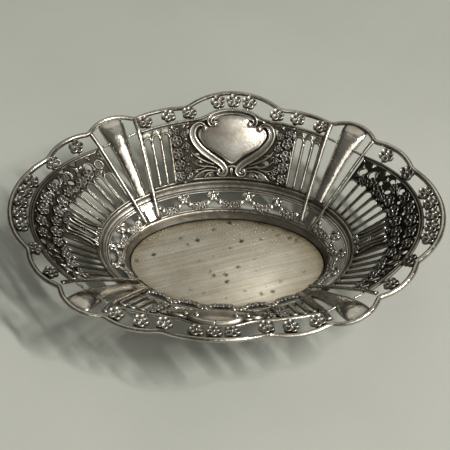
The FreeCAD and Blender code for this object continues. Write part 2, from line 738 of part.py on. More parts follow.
def make_flute_ties(label, sign_x, sign_y):
    """Two short bars that hold a flute to its ribs just under the rail."""
    side_angle = rail_side_ring.angle_on_line(side_foot, side_rib_top)
    end_angle = rail_end_ring.angle_on_line(end_foot, end_rib_top)
    side_end = mirrored(rail_side_ring.point(side_angle), sign_x, sign_y)
    other_end = mirrored(rail_end_ring.point(end_angle), sign_x, sign_y)
    width = size("tie_width")
    between = (other_end - side_end).normalize()
    flute_half = (size("flute_low_width") + size("flute_width")) / 4
    middle = (side_end + other_end) / 2
    ties = []
    for start, direction in ((side_end, between), (other_end, between * -1)):
        first = start + direction * (size("rib_width") / 2 + size("seat"))
        last = middle - direction * (flute_half + size("flute_wall"))
        ties.append(square_bar(first, last, width))
    keep_shape(Part.makeCompound(ties), label)


def square_bar(start, end, width):
    along = (end - start).normalize()
    sideways = Vector(0, 0, 1).cross(along).normalize()
    out = along.cross(sideways)
    bar = Part.makeBox(start.distanceToPoint(end), width, width, Vector(0, -width / 2, -width / 2))
    bar.Placement = FreeCAD.Placement(start, FreeCAD.Rotation(along, sideways, out, "ZXY"))
    return bar


def flute_foot_ends():
    """Middle of the pilaster's foot and head in the first quarter, clear of border and band."""
    side_low = border_ring.angle_on_line(Vector(0, 0, 0), side_foot)
    end_low = border_ring.angle_on_line(Vector(0, 0, 0), end_foot)
    side_high = band_low_ring.angle_on_line(side_foot, side_rib_top)
    end_high = band_low_ring.angle_on_line(end_foot, end_rib_top)
    low = border_ring.point((side_low + end_low) / 2)
    high = band_low_ring.point((side_high + end_high) / 2)
    upward = (high - low).normalize()
    return low + upward * (size("foot_thickness") + size("seat")), high - upward * size("seat")


def make_flute_foot(label, sign_x, sign_y):
    """A short pilaster with a wider cap, on the slope between border and band."""
    low, high = [mirrored(point, sign_x, sign_y) for point in flute_foot_ends()]
    upward = (high - low).normalize()
    sideways = upward.cross(Vector(0, 0, 1)).normalize()
    out = sideways.cross(upward)
    body = doc.addObject("PartDesign::Body", label)
    profile = new_sketch(body, label + "_outline", "XY_Plane")
    rise = "sizes.foot_rise"
    half_cap = "sizes.foot_cap_width / 2"
    half_shaft = "sizes.foot_shaft_width / 2"
    cap_foot = "(sizes.foot_rise - sizes.foot_cap_rise)"
    draw_polygon(profile, (("-" + half_shaft, "0 * sizes.seat"), (half_shaft, "0 * sizes.seat"),
                           (half_shaft, cap_foot), (half_cap, cap_foot), (half_cap, rise),
                           ("-" + half_cap, rise), ("-" + half_cap, cap_foot),
                           ("-" + half_shaft, cap_foot)))
    pad = body.newObject("PartDesign::Pad", label + "_plate")
    pad.Profile = profile
    pad.setExpression("Length", "sizes.foot_thickness")
    pad.Midplane = True
    body.Placement = FreeCAD.Placement(low, FreeCAD.Rotation(sideways, upward, out, "ZXY"))
    keep(body, label)


# Pierced walls
def panel_outline(strip):
    """The whole flat strip, short of its ribs, the band and the rail."""
    half = strip.half_run * SHEET_EDGE_SHARE
    low = size("seat") + size("sheet_thickness")
    high = strip.slant - RAIL_MARGIN_SHARE * (size("rail_radius") + size("seat"))
    return polygon_face([Vector(-half, low, 0), Vector(half, low, 0), Vector(half, high, 0),
                         Vector(-half, high, 0)])


def slot(strip, across, half_width, head):
    foot = size("edge_strip") + size("seat") + size("sheet_thickness")
    return round_topped(across * strip.half_run, half_width * strip.half_run, foot,
                        head * strip.slant)


def spandrel(strip, across, half_width, head):
    """A small three cornered opening between two arches and the rail."""
    middle = across * strip.half_run
    half = half_width * strip.half_run
    top = head * strip.slant
    return polygon_face([Vector(middle - half, top, 0),
                         Vector(middle, top - SPANDREL_HEIGHT_SHARE * half, 0),
                         Vector(middle + half, top, 0)])


def leaf_gap(strip, across, up, half_width):
    half = half_width * strip.half_run
    lean = math.copysign(LEAF_LEAN_SHARE, across)
    return leaf(strip.plan(across, up), half, half * LEAF_HEIGHT_SHARE, LEAF_SHARES, lean)


def oval_gap(strip, across, up, half_width):
    half = half_width * strip.half_run
    return leaf(strip.plan(across, up), half, half * OVAL_HEIGHT_SHARE, OVAL_SHARES)


def both_ways(rows):
    """Each row, and its mirror image unless it lies in the middle."""
    places = []
    for row in rows:
        places.append(row)
        if row[0] > 0:
            places.append((-row[0],) + tuple(row[1:]))
    return places


def make_side_panel(side):
    strip = wall_strips[side]
    gaps = [slot(strip, *row) for row in both_ways(SIDE_SLOT_SHARES)]
    gaps += [spandrel(strip, *row) for row in both_ways(SIDE_SPANDREL_SHARES)]
    gaps += [leaf_gap(strip, *row) for row in both_ways(SIDE_LEAF_GAP_SHARES)]
    gaps += [leaf_gap(strip, *row) for row in both_ways(SIDE_SCROLL_GAP_SHARES)]
    region = panel_outline(strip).cut(gaps)
    half = size("sheet_thickness") / 2
    keep_shape(curved_sheet(region, strip, -half, half), "side_panel_" + side)


def make_end_panel(side):
    strip = wall_strips[side]
    gaps = [slot(strip, *row) for row in both_ways(END_SLOT_SHARES)]
    gaps += [oval_gap(strip, *row) for row in both_ways(END_OVAL_SHARES)]
    gaps += [spandrel(strip, *row) for row in both_ways(END_SPANDREL_SHARES)]
    gaps += [leaf_gap(strip, *row) for row in both_ways(END_LEAF_GAP_SHARES)]
    gaps += [slot(strip, *row) for row in both_ways(END_CENTRE_SLOT_SHARES)]
    region = panel_outline(strip).cut(gaps)
    half = size("sheet_thickness") / 2
    keep_shape(curved_sheet(region, strip, -half, half), "end_panel_" + side)


def swag_spot(start, end, share, high, offset):
    """A point beside the middle line of the garland that hangs from start to end."""
    sag = 4 * share * (1 - share)
    return Vector(start + (end - start) * share,
                  high * (SWAG_HEAD_SHARE - SWAG_SAG_SHARE * sag) + offset, 0)


def make_gallery(side):
    """Garlands that hang from leaf drops between the band and the border.

    The sheet is open above and below each garland, which narrows where its strip leaves less room.
    """
    strip = gallery_strips[side]
    half = strip.half_run * SHEET_EDGE_SHARE
    low = size("seat") + size("sheet_thickness")
    high = strip.slant - size("seat")
    foot = low + size("edge_strip")
    head = high - size("edge_strip")
    thread = size("garland_width") / 2
    least = size("seat")
    rows = SIDE_DROP_SHARES if side in SIDES else END_DROP_SHARES
    drops = sorted({share * strip.half_run for row in rows for share in (row, -row)})
    hooks = [-half] + drops + [half]
    gaps = []
    for start, end in zip(hooks[:-1], hooks[1:]):
        over = [swag_spot(start, end, share, high, thread) for share in SWAG_OVER_SHARES]
        corners = [Vector(start + (end - start) * share, head, 0) for share in SWAG_CORNER_SHARES]
        over = [Vector(spot.x, min(spot.y, head - least), 0) for spot in over]
        gaps.append(polygon_face(over + corners))
        for shares, edge in ((SWAG_UNDER_SHARES, start),
                             ([1 - share for share in SWAG_UNDER_SHARES], end)):
            under = [swag_spot(start, end, share, high, -thread) for share in shares]
            under = [Vector(spot.x, max(spot.y, foot + least), 0) for spot in under]
            inner = Vector(edge + math.copysign(thread, under[0].x - edge), foot, 0)
            gaps.append(polygon_face([inner] + [Vector(inner.x, under[0].y, 0)] + under
                                     + [Vector(under[-1].x, foot, 0)]))
    region = polygon_face([Vector(-half, low, 0), Vector(half, low, 0), Vector(half, high, 0),
                           Vector(-half, high, 0)]).cut(gaps)
    thick = size("sheet_thickness") / 2
    keep_shape(curved_sheet(region, strip, -thick, thick), "gallery_" + side)


# Ornament on the walls
def make_flowers(label, strip, places):
    lift = size("sheet_thickness") / 2 + size("seat")
    flowers = [flower(size("flower_radius"), size("flower_rise"), strip.frame(across, up, lift))
               for across, up in places]
    keep_shape(Part.makeCompound(flowers), label)


def make_shield(side):
    """The plain convex shield of the cartouche: rings that rise to a domed middle."""
    strip = wall_strips[side]
    scale = size("shield_width") / (2 * strip.half_run * max(row[0] for row in SHIELD_HALF_SHARES))
    right = [(across * scale, up) for across, up in SHIELD_HALF_SHARES]
    outline = right + [(-across, up) for across, up in right[-2:0:-1]]
    lift = size("sheet_thickness") / 2 + size("seat")
    middle_up = sum(up for across, up in outline) / len(outline)
    points = [strip.place(strip.plan(across, up), lift) for across, up in outline]
    for reach, rise in SHIELD_RING_SHARES:
        for across, up in outline:
            spot = strip.plan(across * reach, middle_up + (up - middle_up) * reach)
            points.append(strip.place(spot, lift + size("shield_rise") * rise))
    points.append(strip.place(strip.plan(0, middle_up), lift + size("shield_rise")))
    count = len(outline)
    rings = len(SHIELD_RING_SHARES)
    back = len(points)
    for across, up in outline:
        spot = strip.plan(across * SHIELD_BACK_SHARE,
                          middle_up + (up - middle_up) * SHIELD_BACK_SHARE)
        points.append(strip.place(spot, lift))
    points.append(strip.place(strip.plan(0, middle_up), lift))
    facets = []
    for index in range(count):
        other = (index + 1) % count
        facets.append((index, back + other, other))
        facets.append((index, back + index, back + other))
        facets.append((back + index, back + count, back + other))
    for ring in range(rings):
        for index in range(count):
            other = (index + 1) % count
            here = ring * count
            above = here + count
            facets.append((here + index, here + other, above + other))
            facets.append((here + index, above + other, above + index))
    for index in range(count):
        facets.append((rings * count + index, rings * count + (index + 1) % count,
                       (rings + 1) * count))
    keep_shape(solid_from_facets(points, facets), "shield_" + side)


def make_scrolls(side):
    """A C scroll, three acanthus leaves and half a knot on each side of the shield's foot."""
    strip = wall_strips[side]
    width = size("scroll_width")
    faces = []
    for sign in (1, -1):
        spots = [strip.plan(sign * across, up) for across, up in SCROLL_SIDE_SHARES]
        faces.append(stroke(smooth_points(spots, CURVE_STEPS), width))
        for line in SCROLL_LEAF_SHARES:
            spots = [strip.plan(sign * across, up) for across, up in line]
            faces.append(stroke(smooth_points(spots, LEAF_STEPS), width * LEAF_WIDTH_SHARE))
    faces.append(polygon_face([strip.plan(across, up) for across, up in SCROLL_KNOT_SHARES]))
    low = size("sheet_thickness") / 2 + size("seat")
    high = low + size("scroll_thickness")
    scrolls = [curved_sheet(face, strip, low, high) for face in faces]
    keep_shape(Part.makeCompound(scrolls), "scroll_frame_" + side)


def make_bracket(side):
    """Two slender loops with curled feet and a tie between them, in the middle of an end."""
    strip = wall_strips[side]
    faces = []
    for sign in (1, -1):
        spots = [strip.plan(sign * across, up) for across, up in BRACKET_SHARES]
        faces.append(stroke(smooth_points(spots, CURVE_STEPS), size("bracket_width")))
    faces.append(stroke([strip.plan(across, up) for across, up in BRACKET_TIE_SHARES],
                        size("bracket_width")))
    region = one_region(faces)
    low = size("sheet_thickness") / 2 + size("seat")
    keep_shape(curved_sheet(region, strip, low, low + size("bracket_thickness")),
               "bracket_" + side)


# Rails, rim and rosettes
def rail_point(strip, across):
    """Centre of the rail, which bows out over the cartouche on a long side."""
    point = strip.point(across, 1)
    if strip.on_end:
        return point
    swell = math.exp(-(across / RAIL_CROWN_SHARE) ** 4)
    outward = math.copysign(size("rail_crown_reach"), point.y)
    return point + Vector(0, outward * swell, size("rail_crown_rise") * swell)


def make_rail(side):
    path = [rail_point(wall_strips[side], (2 * step / RAIL_STEPS - 1) * SHEET_EDGE_SHARE)
            for step in range(RAIL_STEPS + 1)]
    keep_shape(tube(path, size("rail_radius")), "rail_" + side)


def make_rim():
    keep_shape(tube(rim_loop(), size("rim_radius"), True), "rim_wire")


def make_rosettes(side):
    """Rosettes that bridge the open zone between the rail and the rim, lying on both wires."""
    strip = wall_strips[side]
    rim = rim_loop()
    shares = SIDE_ROSETTE_SHARES if side in SIDES else END_ROSETTE_SHARES
    places = sorted({sign * share for share in shares for sign in (1, -1)})
    rosettes = []
    for across in places:
        inner = rail_point(strip, across)
        outer = min(rim, key=inner.distanceToPoint)
        outward = (outer - inner).normalize()
        along = outward.cross(Vector(0, 0, 1)).normalize()
        out = along.cross(outward)
        middle = inner + (outer - inner) * ROSETTE_PLACE_SHARE
        origin = middle + out * (size("rim_radius") + size("seat"))
        turned = FreeCAD.Rotation(outward, along * -1, out, "ZXY")
        rosettes.append(flower(size("rosette_radius"), size("rosette_rise"),
                               FreeCAD.Placement(origin, turned)))
    keep_shape(Part.makeCompound(rosettes), "rosettes_" + side)


# Build
QUARTERS = (("front_left", -1, -1), ("front_right", 1, -1), ("back_left", -1, 1),
            ("back_right", 1, 1))

foot_low, foot_high = flute_foot_ends()
write_size(len(DRIVING_SIZES) + 1, "foot_rise", foot_low.distanceToPoint(foot_high),
           "worked out: height of the pilasters on their slope")
doc.recompute()

make_base_plate()
make_base_border()
make_middle_band()
for quarter, sign_x, sign_y in QUARTERS:
    make_rib("side_rib_" + quarter, "side_foot", "side_rib", "rail_side_width", sign_x, sign_y)
    make_rib("end_rib_" + quarter, "end_foot", "end_rib", "rail_end_width", sign_x, sign_y)
    make_flute("flute_" + quarter, sign_x, sign_y)
    make_flute_ties("flute_ties_" + quarter, sign_x, sign_y)
    make_flute_foot("flute_foot_" + quarter, sign_x, sign_y)
for side in SIDES:
    make_side_panel(side)
    make_shield(side)
    make_scrolls(side)
    for name, sign in (("left", -1), ("right", 1)):
        turned = sign if side == "front" else -sign
        places = [(turned * across, up) for across, up in SIDE_FLOWER_SHARES]
        make_flowers("spray_%s_%s" % (side, name), wall_strips[side], places)
for side in ENDS:
    make_end_panel(side)
    make_bracket(side)
    make_flowers("bouquet_" + side, wall_strips[side], both_ways(BOUQUET_SHARES))
    for name, sign in (("front", -1), ("back", 1)):
        turned = sign if side == "right" else -sign
        places = [(turned * across, up) for across, up in FLANK_FLOWER_SHARES]
        make_flowers("flank_%s_%s" % (side, name), wall_strips[side], places)
for side in SIDES + ENDS:
    make_gallery(side)
    make_rail(side)
    make_rosettes(side)
make_rim()
doc.recompute()

# Check and write
for thing in doc.Objects:
    if "Invalid" in thing.State or "Error" in thing.State:
        raise RuntimeError("not built: " + thing.Name)
for thing in SUB_PARTS:
    if thing.Shape.isNull() or not thing.Shape.isValid():
        raise RuntimeError("not valid: " + thing.Label)

os.makedirs("parts", exist_ok=True)
for thing in SUB_PARTS:
    thing.Shape.exportStep(os.path.join("parts", thing.Label + ".step"))
print(len(SUB_PARTS), "sub-parts written")
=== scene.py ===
import math

import bpy
import numpy as np
from mathutils import Matrix, Vector
from mathutils.geometry import delaunay_2d_cdt


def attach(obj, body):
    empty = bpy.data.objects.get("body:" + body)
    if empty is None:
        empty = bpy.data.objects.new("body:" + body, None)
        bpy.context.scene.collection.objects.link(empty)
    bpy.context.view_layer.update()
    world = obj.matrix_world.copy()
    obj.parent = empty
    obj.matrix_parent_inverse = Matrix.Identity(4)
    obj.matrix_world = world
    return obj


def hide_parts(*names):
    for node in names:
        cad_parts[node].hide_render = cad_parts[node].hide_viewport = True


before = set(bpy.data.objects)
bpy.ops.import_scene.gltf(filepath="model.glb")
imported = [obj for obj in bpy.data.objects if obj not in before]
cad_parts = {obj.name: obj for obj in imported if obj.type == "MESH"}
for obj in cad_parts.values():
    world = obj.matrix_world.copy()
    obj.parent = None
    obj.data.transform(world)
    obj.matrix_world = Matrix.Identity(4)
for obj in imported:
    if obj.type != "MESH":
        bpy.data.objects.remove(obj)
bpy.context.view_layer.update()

# Lengths below are in millimetres and are brought to metres when a mesh is made.
MM = 0.001
SHEET = 1.1
TOP = SHEET / 2
SLOT_FOOT = 2.1
SEAT = 0.2
BORDER = (118.2, 71.4, 5.9)
BAND_LOW = (136.6, 90.2, 12.9)
BAND = (144.4, 98.0, 17.0)
RAIL_SIDE = (216.0, 149.2, 40.0)
RAIL_END = (216.0, 141.0, 40.0)
SIDE_FOOT = (42.0, 27.0)
END_FOOT = (48.5, 21.5)
SIDE_RIB_TOP = (58.4, 72.6, 42.4)
END_RIB_TOP = (83.0, 56.3, 45.1)
FLARE = 0.25
PETALS = 5
RIM_RADIUS = 1.3
RAIL_RADIUS = 0.85
TIE_RADIUS = 0.78
UP = np.array([0, 0, 1.0])
QUARTERS = (("front_left", -1, -1), ("front_right", 1, -1), ("back_left", -1, 1),
            ("back_right", 1, 1))


# Small tools
def rand(*numbers):
    """A steady number from 0 to 1 for a few whole numbers."""
    value = math.sin(sum(n * k for n, k in zip(numbers, (12.9898, 78.233, 37.719, 9.17)))) * 43758.5453
    return value - math.floor(value)


def unit(v):
    return v / np.maximum(np.linalg.norm(v, axis=-1, keepdims=True), 1e-12)


def smooth_line(points, steps):
    """Points along a smooth curve through the given ones."""
    pts = np.asarray(points, float)
    gaps = np.sqrt(np.linalg.norm(np.diff(pts, axis=0), axis=1))
    knots = np.concatenate([[0], np.cumsum(gaps)])
    slopes = np.zeros_like(pts)
    secant = np.diff(pts, axis=0) / gaps[:, None]
    weighed = secant[:-1] * gaps[1:, None] + secant[1:] * gaps[:-1, None]
    slopes[1:-1] = weighed / (gaps[1:] + gaps[:-1])[:, None]
    slopes[0] = 1.5 * secant[0] - 0.5 * slopes[1]
    slopes[-1] = 1.5 * secant[-1] - 0.5 * slopes[-2]
    t = np.linspace(0, knots[-1], steps)
    i = np.clip(np.searchsorted(knots, t, side="right") - 1, 0, len(gaps) - 1)
    h = gaps[i][:, None]
    s = ((t - knots[i]) / gaps[i])[:, None]
    return ((2 * s ** 3 - 3 * s ** 2 + 1) * pts[i] + (s ** 3 - 2 * s ** 2 + s) * h * slopes[i]
            + (-2 * s ** 3 + 3 * s ** 2) * pts[i + 1] + (s ** 3 - s ** 2) * h * slopes[i + 1])


def curl(centre, radius, start, turns, steps):
    """A spiral in the flat plan that winds inward to a quarter of its radius."""
    t = np.linspace(0, 1, steps)
    a = start + turns * 2 * math.pi * t
    r = radius * (1 - 0.75 * t)
    return np.stack([centre[0] + r * np.cos(a), centre[1] + r * np.sin(a)], 1)


def soften(values, times):
    """Evens out the inner values in place; the first and last stay."""
    for turn in range(times):
        values[1:-1] = 0.25 * values[:-2] + 0.5 * values[1:-1] + 0.25 * values[2:]


def mirror(v, x, y):
    return np.asarray(v, float) * np.array([x, y, 1.0])


def ellipse(size, angle):
    """Points of a level oval; size gives its two diameters and its height."""
    a = np.asarray(angle, float)
    return np.stack([np.cos(a) * size[0] / 2, np.sin(a) * size[1] / 2, np.full(a.shape, size[2])], -1)


def angle_on_line(size, start, end):
    """The angle at which a line seen from above crosses an oval."""
    hx, hy = size[0] / 2, size[1] / 2
    sx, sy = (end[0] - start[0]) / hx, (end[1] - start[1]) / hy
    fx, fy = start[0] / hx, start[1] / hy
    a = sx * sx + sy * sy
    b = fx * sx + fy * sy
    c = fx * fx + fy * fy - 1
    t = (-b + math.sqrt(b * b - a * c)) / a
    return math.atan2(fy + t * sy, fx + t * sx)


class Strip:
    """A stretch of wall or gallery between two ribs; p runs -1 to 1 across it and q 0 to 1 up it."""

    def __init__(self, side, low, high, foot, top, middle=None):
        self.low, self.high, self.middle = low, high, middle
        self.turn = {"right": 0.0, "back": 0.5, "left": 1.0, "front": 1.5}[side] * math.pi
        self.on_end = side in ("right", "left")
        flip = (lambda a: a) if self.on_end else (lambda a: math.pi / 2 - a)
        self.low_half = flip(angle_on_line(low, foot, top))
        self.high_half = flip(angle_on_line(high, foot, top))
        self.slant = 1.0
        middles = self.point(np.linspace(0, 1, 41), 0.5)
        self.run = float(np.linalg.norm(np.diff(middles, axis=0), axis=1).sum())
        self.slant = float(np.linalg.norm(self.point(0.0, 0.0) - self.point(0.0, 1.0)))

    def point(self, p, q):
        p, q = np.broadcast_arrays(np.asarray(p, float), np.asarray(q, float))
        low = ellipse(self.low, self.turn + p * self.low_half)
        high = ellipse(self.high, self.turn + p * self.high_half)
        if self.middle:
            high[..., 2] += (self.middle - high[..., 2]) * (1 - p ** 2)
        inner = low + (high - low) * np.minimum(q, 1)[..., None]
        out = np.array([math.cos(self.turn), math.sin(self.turn), FLARE])
        return inner + np.maximum(q - 1, 0)[..., None] * self.slant * out

    def normal(self, p):
        """The direction out of the sheet, towards the inside of the dish."""
        along = self.point(p + 0.02, 1.0) - self.point(p - 0.02, 1.0)
        rising = self.point(p, 1.0) - self.point(p, 0.0)
        n = unit(np.cross(along, rising))
        return np.where(n[..., 2:3] < 0, -n, n)

    def place(self, xy, offset):
        """Bends points of the flat plan onto the wall, offset from its middle."""
        xy = np.asarray(xy, float)
        p = xy[..., 0] / self.run
        q = xy[..., 1] / self.slant
        return self.point(p, q) + self.normal(p) * np.asarray(offset, float)[..., None]

    def plan(self, rows, sign=1):
        """Millimetres in the flat plan from shares of the wall; sign -1 gives the mirror image."""
        return np.asarray(rows, float) * np.array([sign * self.run, self.slant])

    def frame(self, p, q, offset, turn=0.0, lean=0.0):
        """A place above the sheet and its three axes as columns, the third out of the sheet."""
        p, q = np.array(p), np.array(q)
        n = self.normal(p)
        along = unit(self.point(p + 0.02, q) - self.point(p - 0.02, q))
        along = unit(along - n * np.dot(along, n))
        up = np.cross(n, along)
        origin = self.point(p, q) + n * offset
        x = along * math.cos(turn) + up * math.sin(turn)
        z = unit(n + x * lean)
        x = unit(x - z * np.dot(x, z))
        return origin, np.stack([x, np.cross(z, x), z], 1)


# Meshes
def new_object(name, data):
    thing = bpy.data.objects.new(name, data)
    bpy.context.scene.collection.objects.link(thing)
    return thing


class Builder:
    """Collects the parts of one piece and makes one mesh object of them."""

    def __init__(self):
        self.points, self.faces, self.wear, self.count = [], [], [], 0

    def add(self, points, faces, wear=1.0):
        """The last value is 1 where the metal is bright and 0 where it stays dark: rubbing wear on most
        pieces, painted shade on the pierced sheets and end rails, and a painted highlight on the shield.
        """
        points = np.asarray(points, float).reshape(-1, 3)
        self.wear.append(np.broadcast_to(np.asarray(wear, float), (len(points),)))
        self.points.append(points)
        self.faces += [tuple(int(i) + self.count for i in f) for f in faces]
        self.count += len(points)

    def make(self, name, material, flat_angle=None):
        """Makes the object, which takes the place of the frame's node of the same name."""
        mesh = bpy.data.meshes.new(name)
        mesh.from_pydata((np.concatenate(self.points) * MM).tolist(), [], self.faces)
        mesh.validate()
        mesh.polygons.foreach_set("use_smooth", [True] * len(mesh.polygons))
        mesh.attributes.new("wear", "FLOAT", "POINT").data.foreach_set(
            "value", np.concatenate(self.wear).astype(np.float32))
        if flat_angle:
            mesh.set_sharp_from_angle(angle=math.radians(flat_angle))
        mesh.update()
        mesh.materials.append(material)
        thing = new_object(name, mesh)
        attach(thing, "root")
        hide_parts(name)


def grid_faces(rows, columns, closed_rows=False, closed_columns=False):
    """Four sided faces between rows of points."""
    faces = []
    for r in range(rows if closed_rows else rows - 1):
        for c in range(columns if closed_columns else columns - 1):
            d = (c + 1) % columns
            s = (r + 1) % rows
            faces.append((r * columns + c, r * columns + d, s * columns + d, s * columns + c))
    return faces


def sections_mesh(sections, closed=False):
    """A skin through sections with as many points each, with flat ends unless it closes."""
    sections = np.asarray(sections, float)
    rows, columns = sections.shape[:2]
    faces = grid_faces(rows, columns, closed, True)
    if not closed:
        faces.append(tuple(range(columns))[::-1])
        faces.append(tuple(range((rows - 1) * columns, rows * columns)))
    return sections.reshape(-1, 3), faces


def path_axes(path, closed=False):
    """The level and the upright direction across a path."""
    forward = unit(np.roll(path, -1, 0) - np.roll(path, 1, 0) if closed else np.gradient(path, axis=0))
    across = unit(np.cross(forward, UP))
    return across, np.cross(across, forward)


def wire(builder, path, radius, sides, closed=False, scales=None, wear=1.0):
    across, up = path_axes(path, closed)
    t = 2 * math.pi * np.arange(sides) / sides
    k = np.ones(len(path)) if scales is None else np.asarray(scales)
    ring = across[:, None] * np.cos(t)[None, :, None] + up[:, None] * np.sin(t)[None, :, None]
    builder.add(*sections_mesh(path[:, None] + ring * (radius * k)[:, None, None], closed), wear)


ROUND = [(math.cos(a), math.sin(a)) for a in np.linspace(0, math.pi, 9)]
DOUBLE = [(1.0, 0.0), (0.93, 0.6), (0.72, 0.95), (0.45, 0.85), (0.2, 0.42), (0.0, 0.3), (-0.2, 0.42),
          (-0.45, 0.85), (-0.72, 0.95), (-0.93, 0.6), (-1.0, 0.0)]


def bar(builder, strip, line, width, height, base, profile=ROUND, taper=None):
    """A raised bar along a line of the flat plan, lying on the sheet."""
    line = np.asarray(line, float)
    points = strip.place(line, base)
    out = strip.normal(line[:, 0] / strip.run)
    forward = unit(np.gradient(points, axis=0))
    across = unit(np.cross(forward, out))
    k = np.ones(len(line)) if taper is None else np.asarray(taper, float)
    shape = list(profile) + [(-0.98, -0.25), (0.98, -0.25)]
    sections = [points + across * (u * width / 2 * k)[:, None] + out * (v * height * np.sqrt(k))[:, None]
                for u, v in shape]
    points, faces = sections_mesh(np.stack(sections, 1))
    wear = [min(1.0, 0.25 + 1.1 * max(v, 0)) for u, v in shape]
    builder.add(points, faces, np.tile(wear, len(line)))


def tapered(count, head, tail, share=0.2):
    """Widths that start at head, end at tail and are full between."""
    t = np.linspace(0, 1, count)
    return np.minimum(1, np.minimum(head + (1 - head) * t / share, tail + (1 - tail) * (1 - t) / share))


def dome(builder, origin, axes, radius, height, rings=4, sides=14, sink=0.15):
    """A round bead on the sheet, with its foot sunk into it."""
    points = [origin + axes @ np.array([0, 0, height])]
    for ring in range(1, rings + 1):
        a = math.pi / 2 * ring / rings
        for side in range(sides):
            t = 2 * math.pi * side / sides
            z = height * math.cos(a) if ring < rings else -sink
            points.append(origin + axes @ np.array([radius * math.sin(a) * math.cos(t),
                                                    radius * math.sin(a) * math.sin(t), z]))
    faces = [(0, 1 + s, 1 + (s + 1) % sides) for s in range(sides)]
    for ring in range(rings - 1):
        for s in range(sides):
            a, b = 1 + ring * sides + s, 1 + ring * sides + (s + 1) % sides
            faces.append((a, a + sides, b + sides, b))
    faces.append(tuple(1 + (rings - 1) * sides + s for s in range(sides))[::-1])
    builder.add(points, faces)


def bead(builder, strip, spot, offset, radius, height, sink=0.15):
    """A round bead at a spot of the flat plan."""
    origin, axes = strip.frame(spot[0] / strip.run, spot[1] / strip.slant, offset)
    dome(builder, origin, axes, radius, height, sink=sink)


# A petal from its middle to its edge: share of its reach, height and wear
CUP = ((0.0, 0.26, 0.30), (0.45, 0.32, 0.38), (0.70, 0.55, 0.60), (0.84, 0.74, 1.0), (0.95, 0.50, 0.45),
       (1.0, 0.0, 0.02))


def flower(builder, origin, axes, radius, rise, sink, seed):
    """Cupped round petals with raised lips, round a beaded heart."""
    sides = 14
    t = 2 * math.pi * np.arange(sides) / sides
    for petal in range(PETALS):
        a = 2 * math.pi * petal / PETALS
        size = radius * math.sin(math.pi / PETALS) * 0.80 * (1 + 0.14 * (rand(petal, seed, 3) - 0.5))
        size_out = size * 1.02
        centre = np.array([math.cos(a), math.sin(a)]) * (radius - size_out)
        lean = 0.25 * (rand(petal, seed, 9) - 0.5)
        points = []
        for reach, height in [row[:2] for row in CUP[1:]]:
            x, y = reach * size_out * np.cos(t), reach * size * np.sin(t)
            z = height * rise + lean * y if height else np.full(sides, -sink)
            points.append(np.stack([centre[0] + x * math.cos(a) - y * math.sin(a),
                                    centre[1] + x * math.sin(a) + y * math.cos(a), z], 1))
        count = len(points)
        points = np.concatenate(points + [np.array([[*centre, CUP[0][1] * rise]])])
        wear = np.append(np.repeat([row[2] for row in CUP[1:]], sides), CUP[0][2])
        faces = [(count * sides, s, (s + 1) % sides) for s in range(sides)]
        faces += [f[::-1] for f in grid_faces(count, sides, False, True)]
        faces.append(tuple((count - 1) * sides + s for s in range(sides))[::-1])
        builder.add(origin + points @ axes.T, faces, wear)
    dome(builder, origin, axes, radius * 0.21, rise * 1.05, 3, 12, sink)


def leaf(builder, strip, root, tip, width, height, base, bend):
    """A pointed leaf with a sunk midrib, notched edges and a raised back, on the flat plan."""
    root, tip = np.asarray(root, float), np.asarray(tip, float)
    steps, half = 15, 4
    axis = tip - root
    side = np.array([-axis[1], axis[0]]) / np.linalg.norm(axis)
    t = np.linspace(0, 1, steps)
    middle = root + axis * t[:, None] + side * (bend * np.linalg.norm(axis) * np.sin(math.pi * t))[:, None]
    wide = width / 2 * np.sin(math.pi * t ** 0.75) ** 0.8 * (1 - 0.16 * np.abs(np.sin(4 * math.pi * t)))
    wide = np.maximum(wide, 0.06)
    u = np.linspace(-1, 1, 2 * half + 1)
    lift = 0.35 + 0.65 * np.sin(math.pi * np.minimum(np.abs(u) * 1.15, 1)) ** 0.8
    lift[[0, -1]] = -0.15
    flat = middle[:, None] + side * (u[None, :] * wide[:, None])[..., None]
    swell = 0.35 + 0.65 * np.sin(math.pi * np.clip(t, 0.08, 0.94))
    offset = base + height * lift[None, :] * swell[:, None]
    bright = np.clip(1.5 * lift - 0.35, 0, 1)
    rows = [r * (2 * half + 1) for r in range(steps)]
    under = tuple(rows + [r + 2 * half for r in reversed(rows)])
    builder.add(strip.place(flat, offset), grid_faces(steps, 2 * half + 1) + [under], np.tile(bright, steps))


# Flat regions bent onto a strip
def inside(points, polygon):
    """Which of the points lie in the polygon."""
    x, y = points[:, 0], points[:, 1]
    px, py = polygon[:, 0], polygon[:, 1]
    qx, qy = np.roll(px, -1), np.roll(py, -1)
    hit = np.zeros(len(points), bool)
    for ax, ay, bx, by in zip(px, py, qx, qy):
        if ay != by:
            crossing = (ay > y) != (by > y)
            hit ^= crossing & (x < (bx - ax) * (y - ay) / (by - ay) + ax)
    return hit


def in_any(points, polygons):
    hit = np.zeros(len(points), bool)
    for polygon in polygons:
        low, high = polygon.min(0), polygon.max(0)
        near = np.all((points >= low) & (points <= high), axis=1)
        if near.any():
            hit[near] |= inside(points[near], polygon)
    return hit


def dense(polygon, gap):
    """The polygon with more points, no further apart than gap."""
    points = []
    for a, b in zip(polygon, np.roll(polygon, -1, 0)):
        n = max(1, int(np.ceil(np.linalg.norm(b - a) / gap)))
        points += [a + (b - a) * k / n for k in range(n)]
    return np.array(points)


def distance_to(points, starts, ends):
    """How far each point is from the nearest of the lines from starts to ends."""
    best = np.full(len(points), 1e9)
    for a, b in zip(starts, ends):
        d = b - a
        t = np.clip(((points - a) @ d) / max(d @ d, 1e-12), 0, 1)
        best = np.minimum(best, np.sum((points - a - t[:, None] * d) ** 2, axis=1))
    return np.sqrt(best)


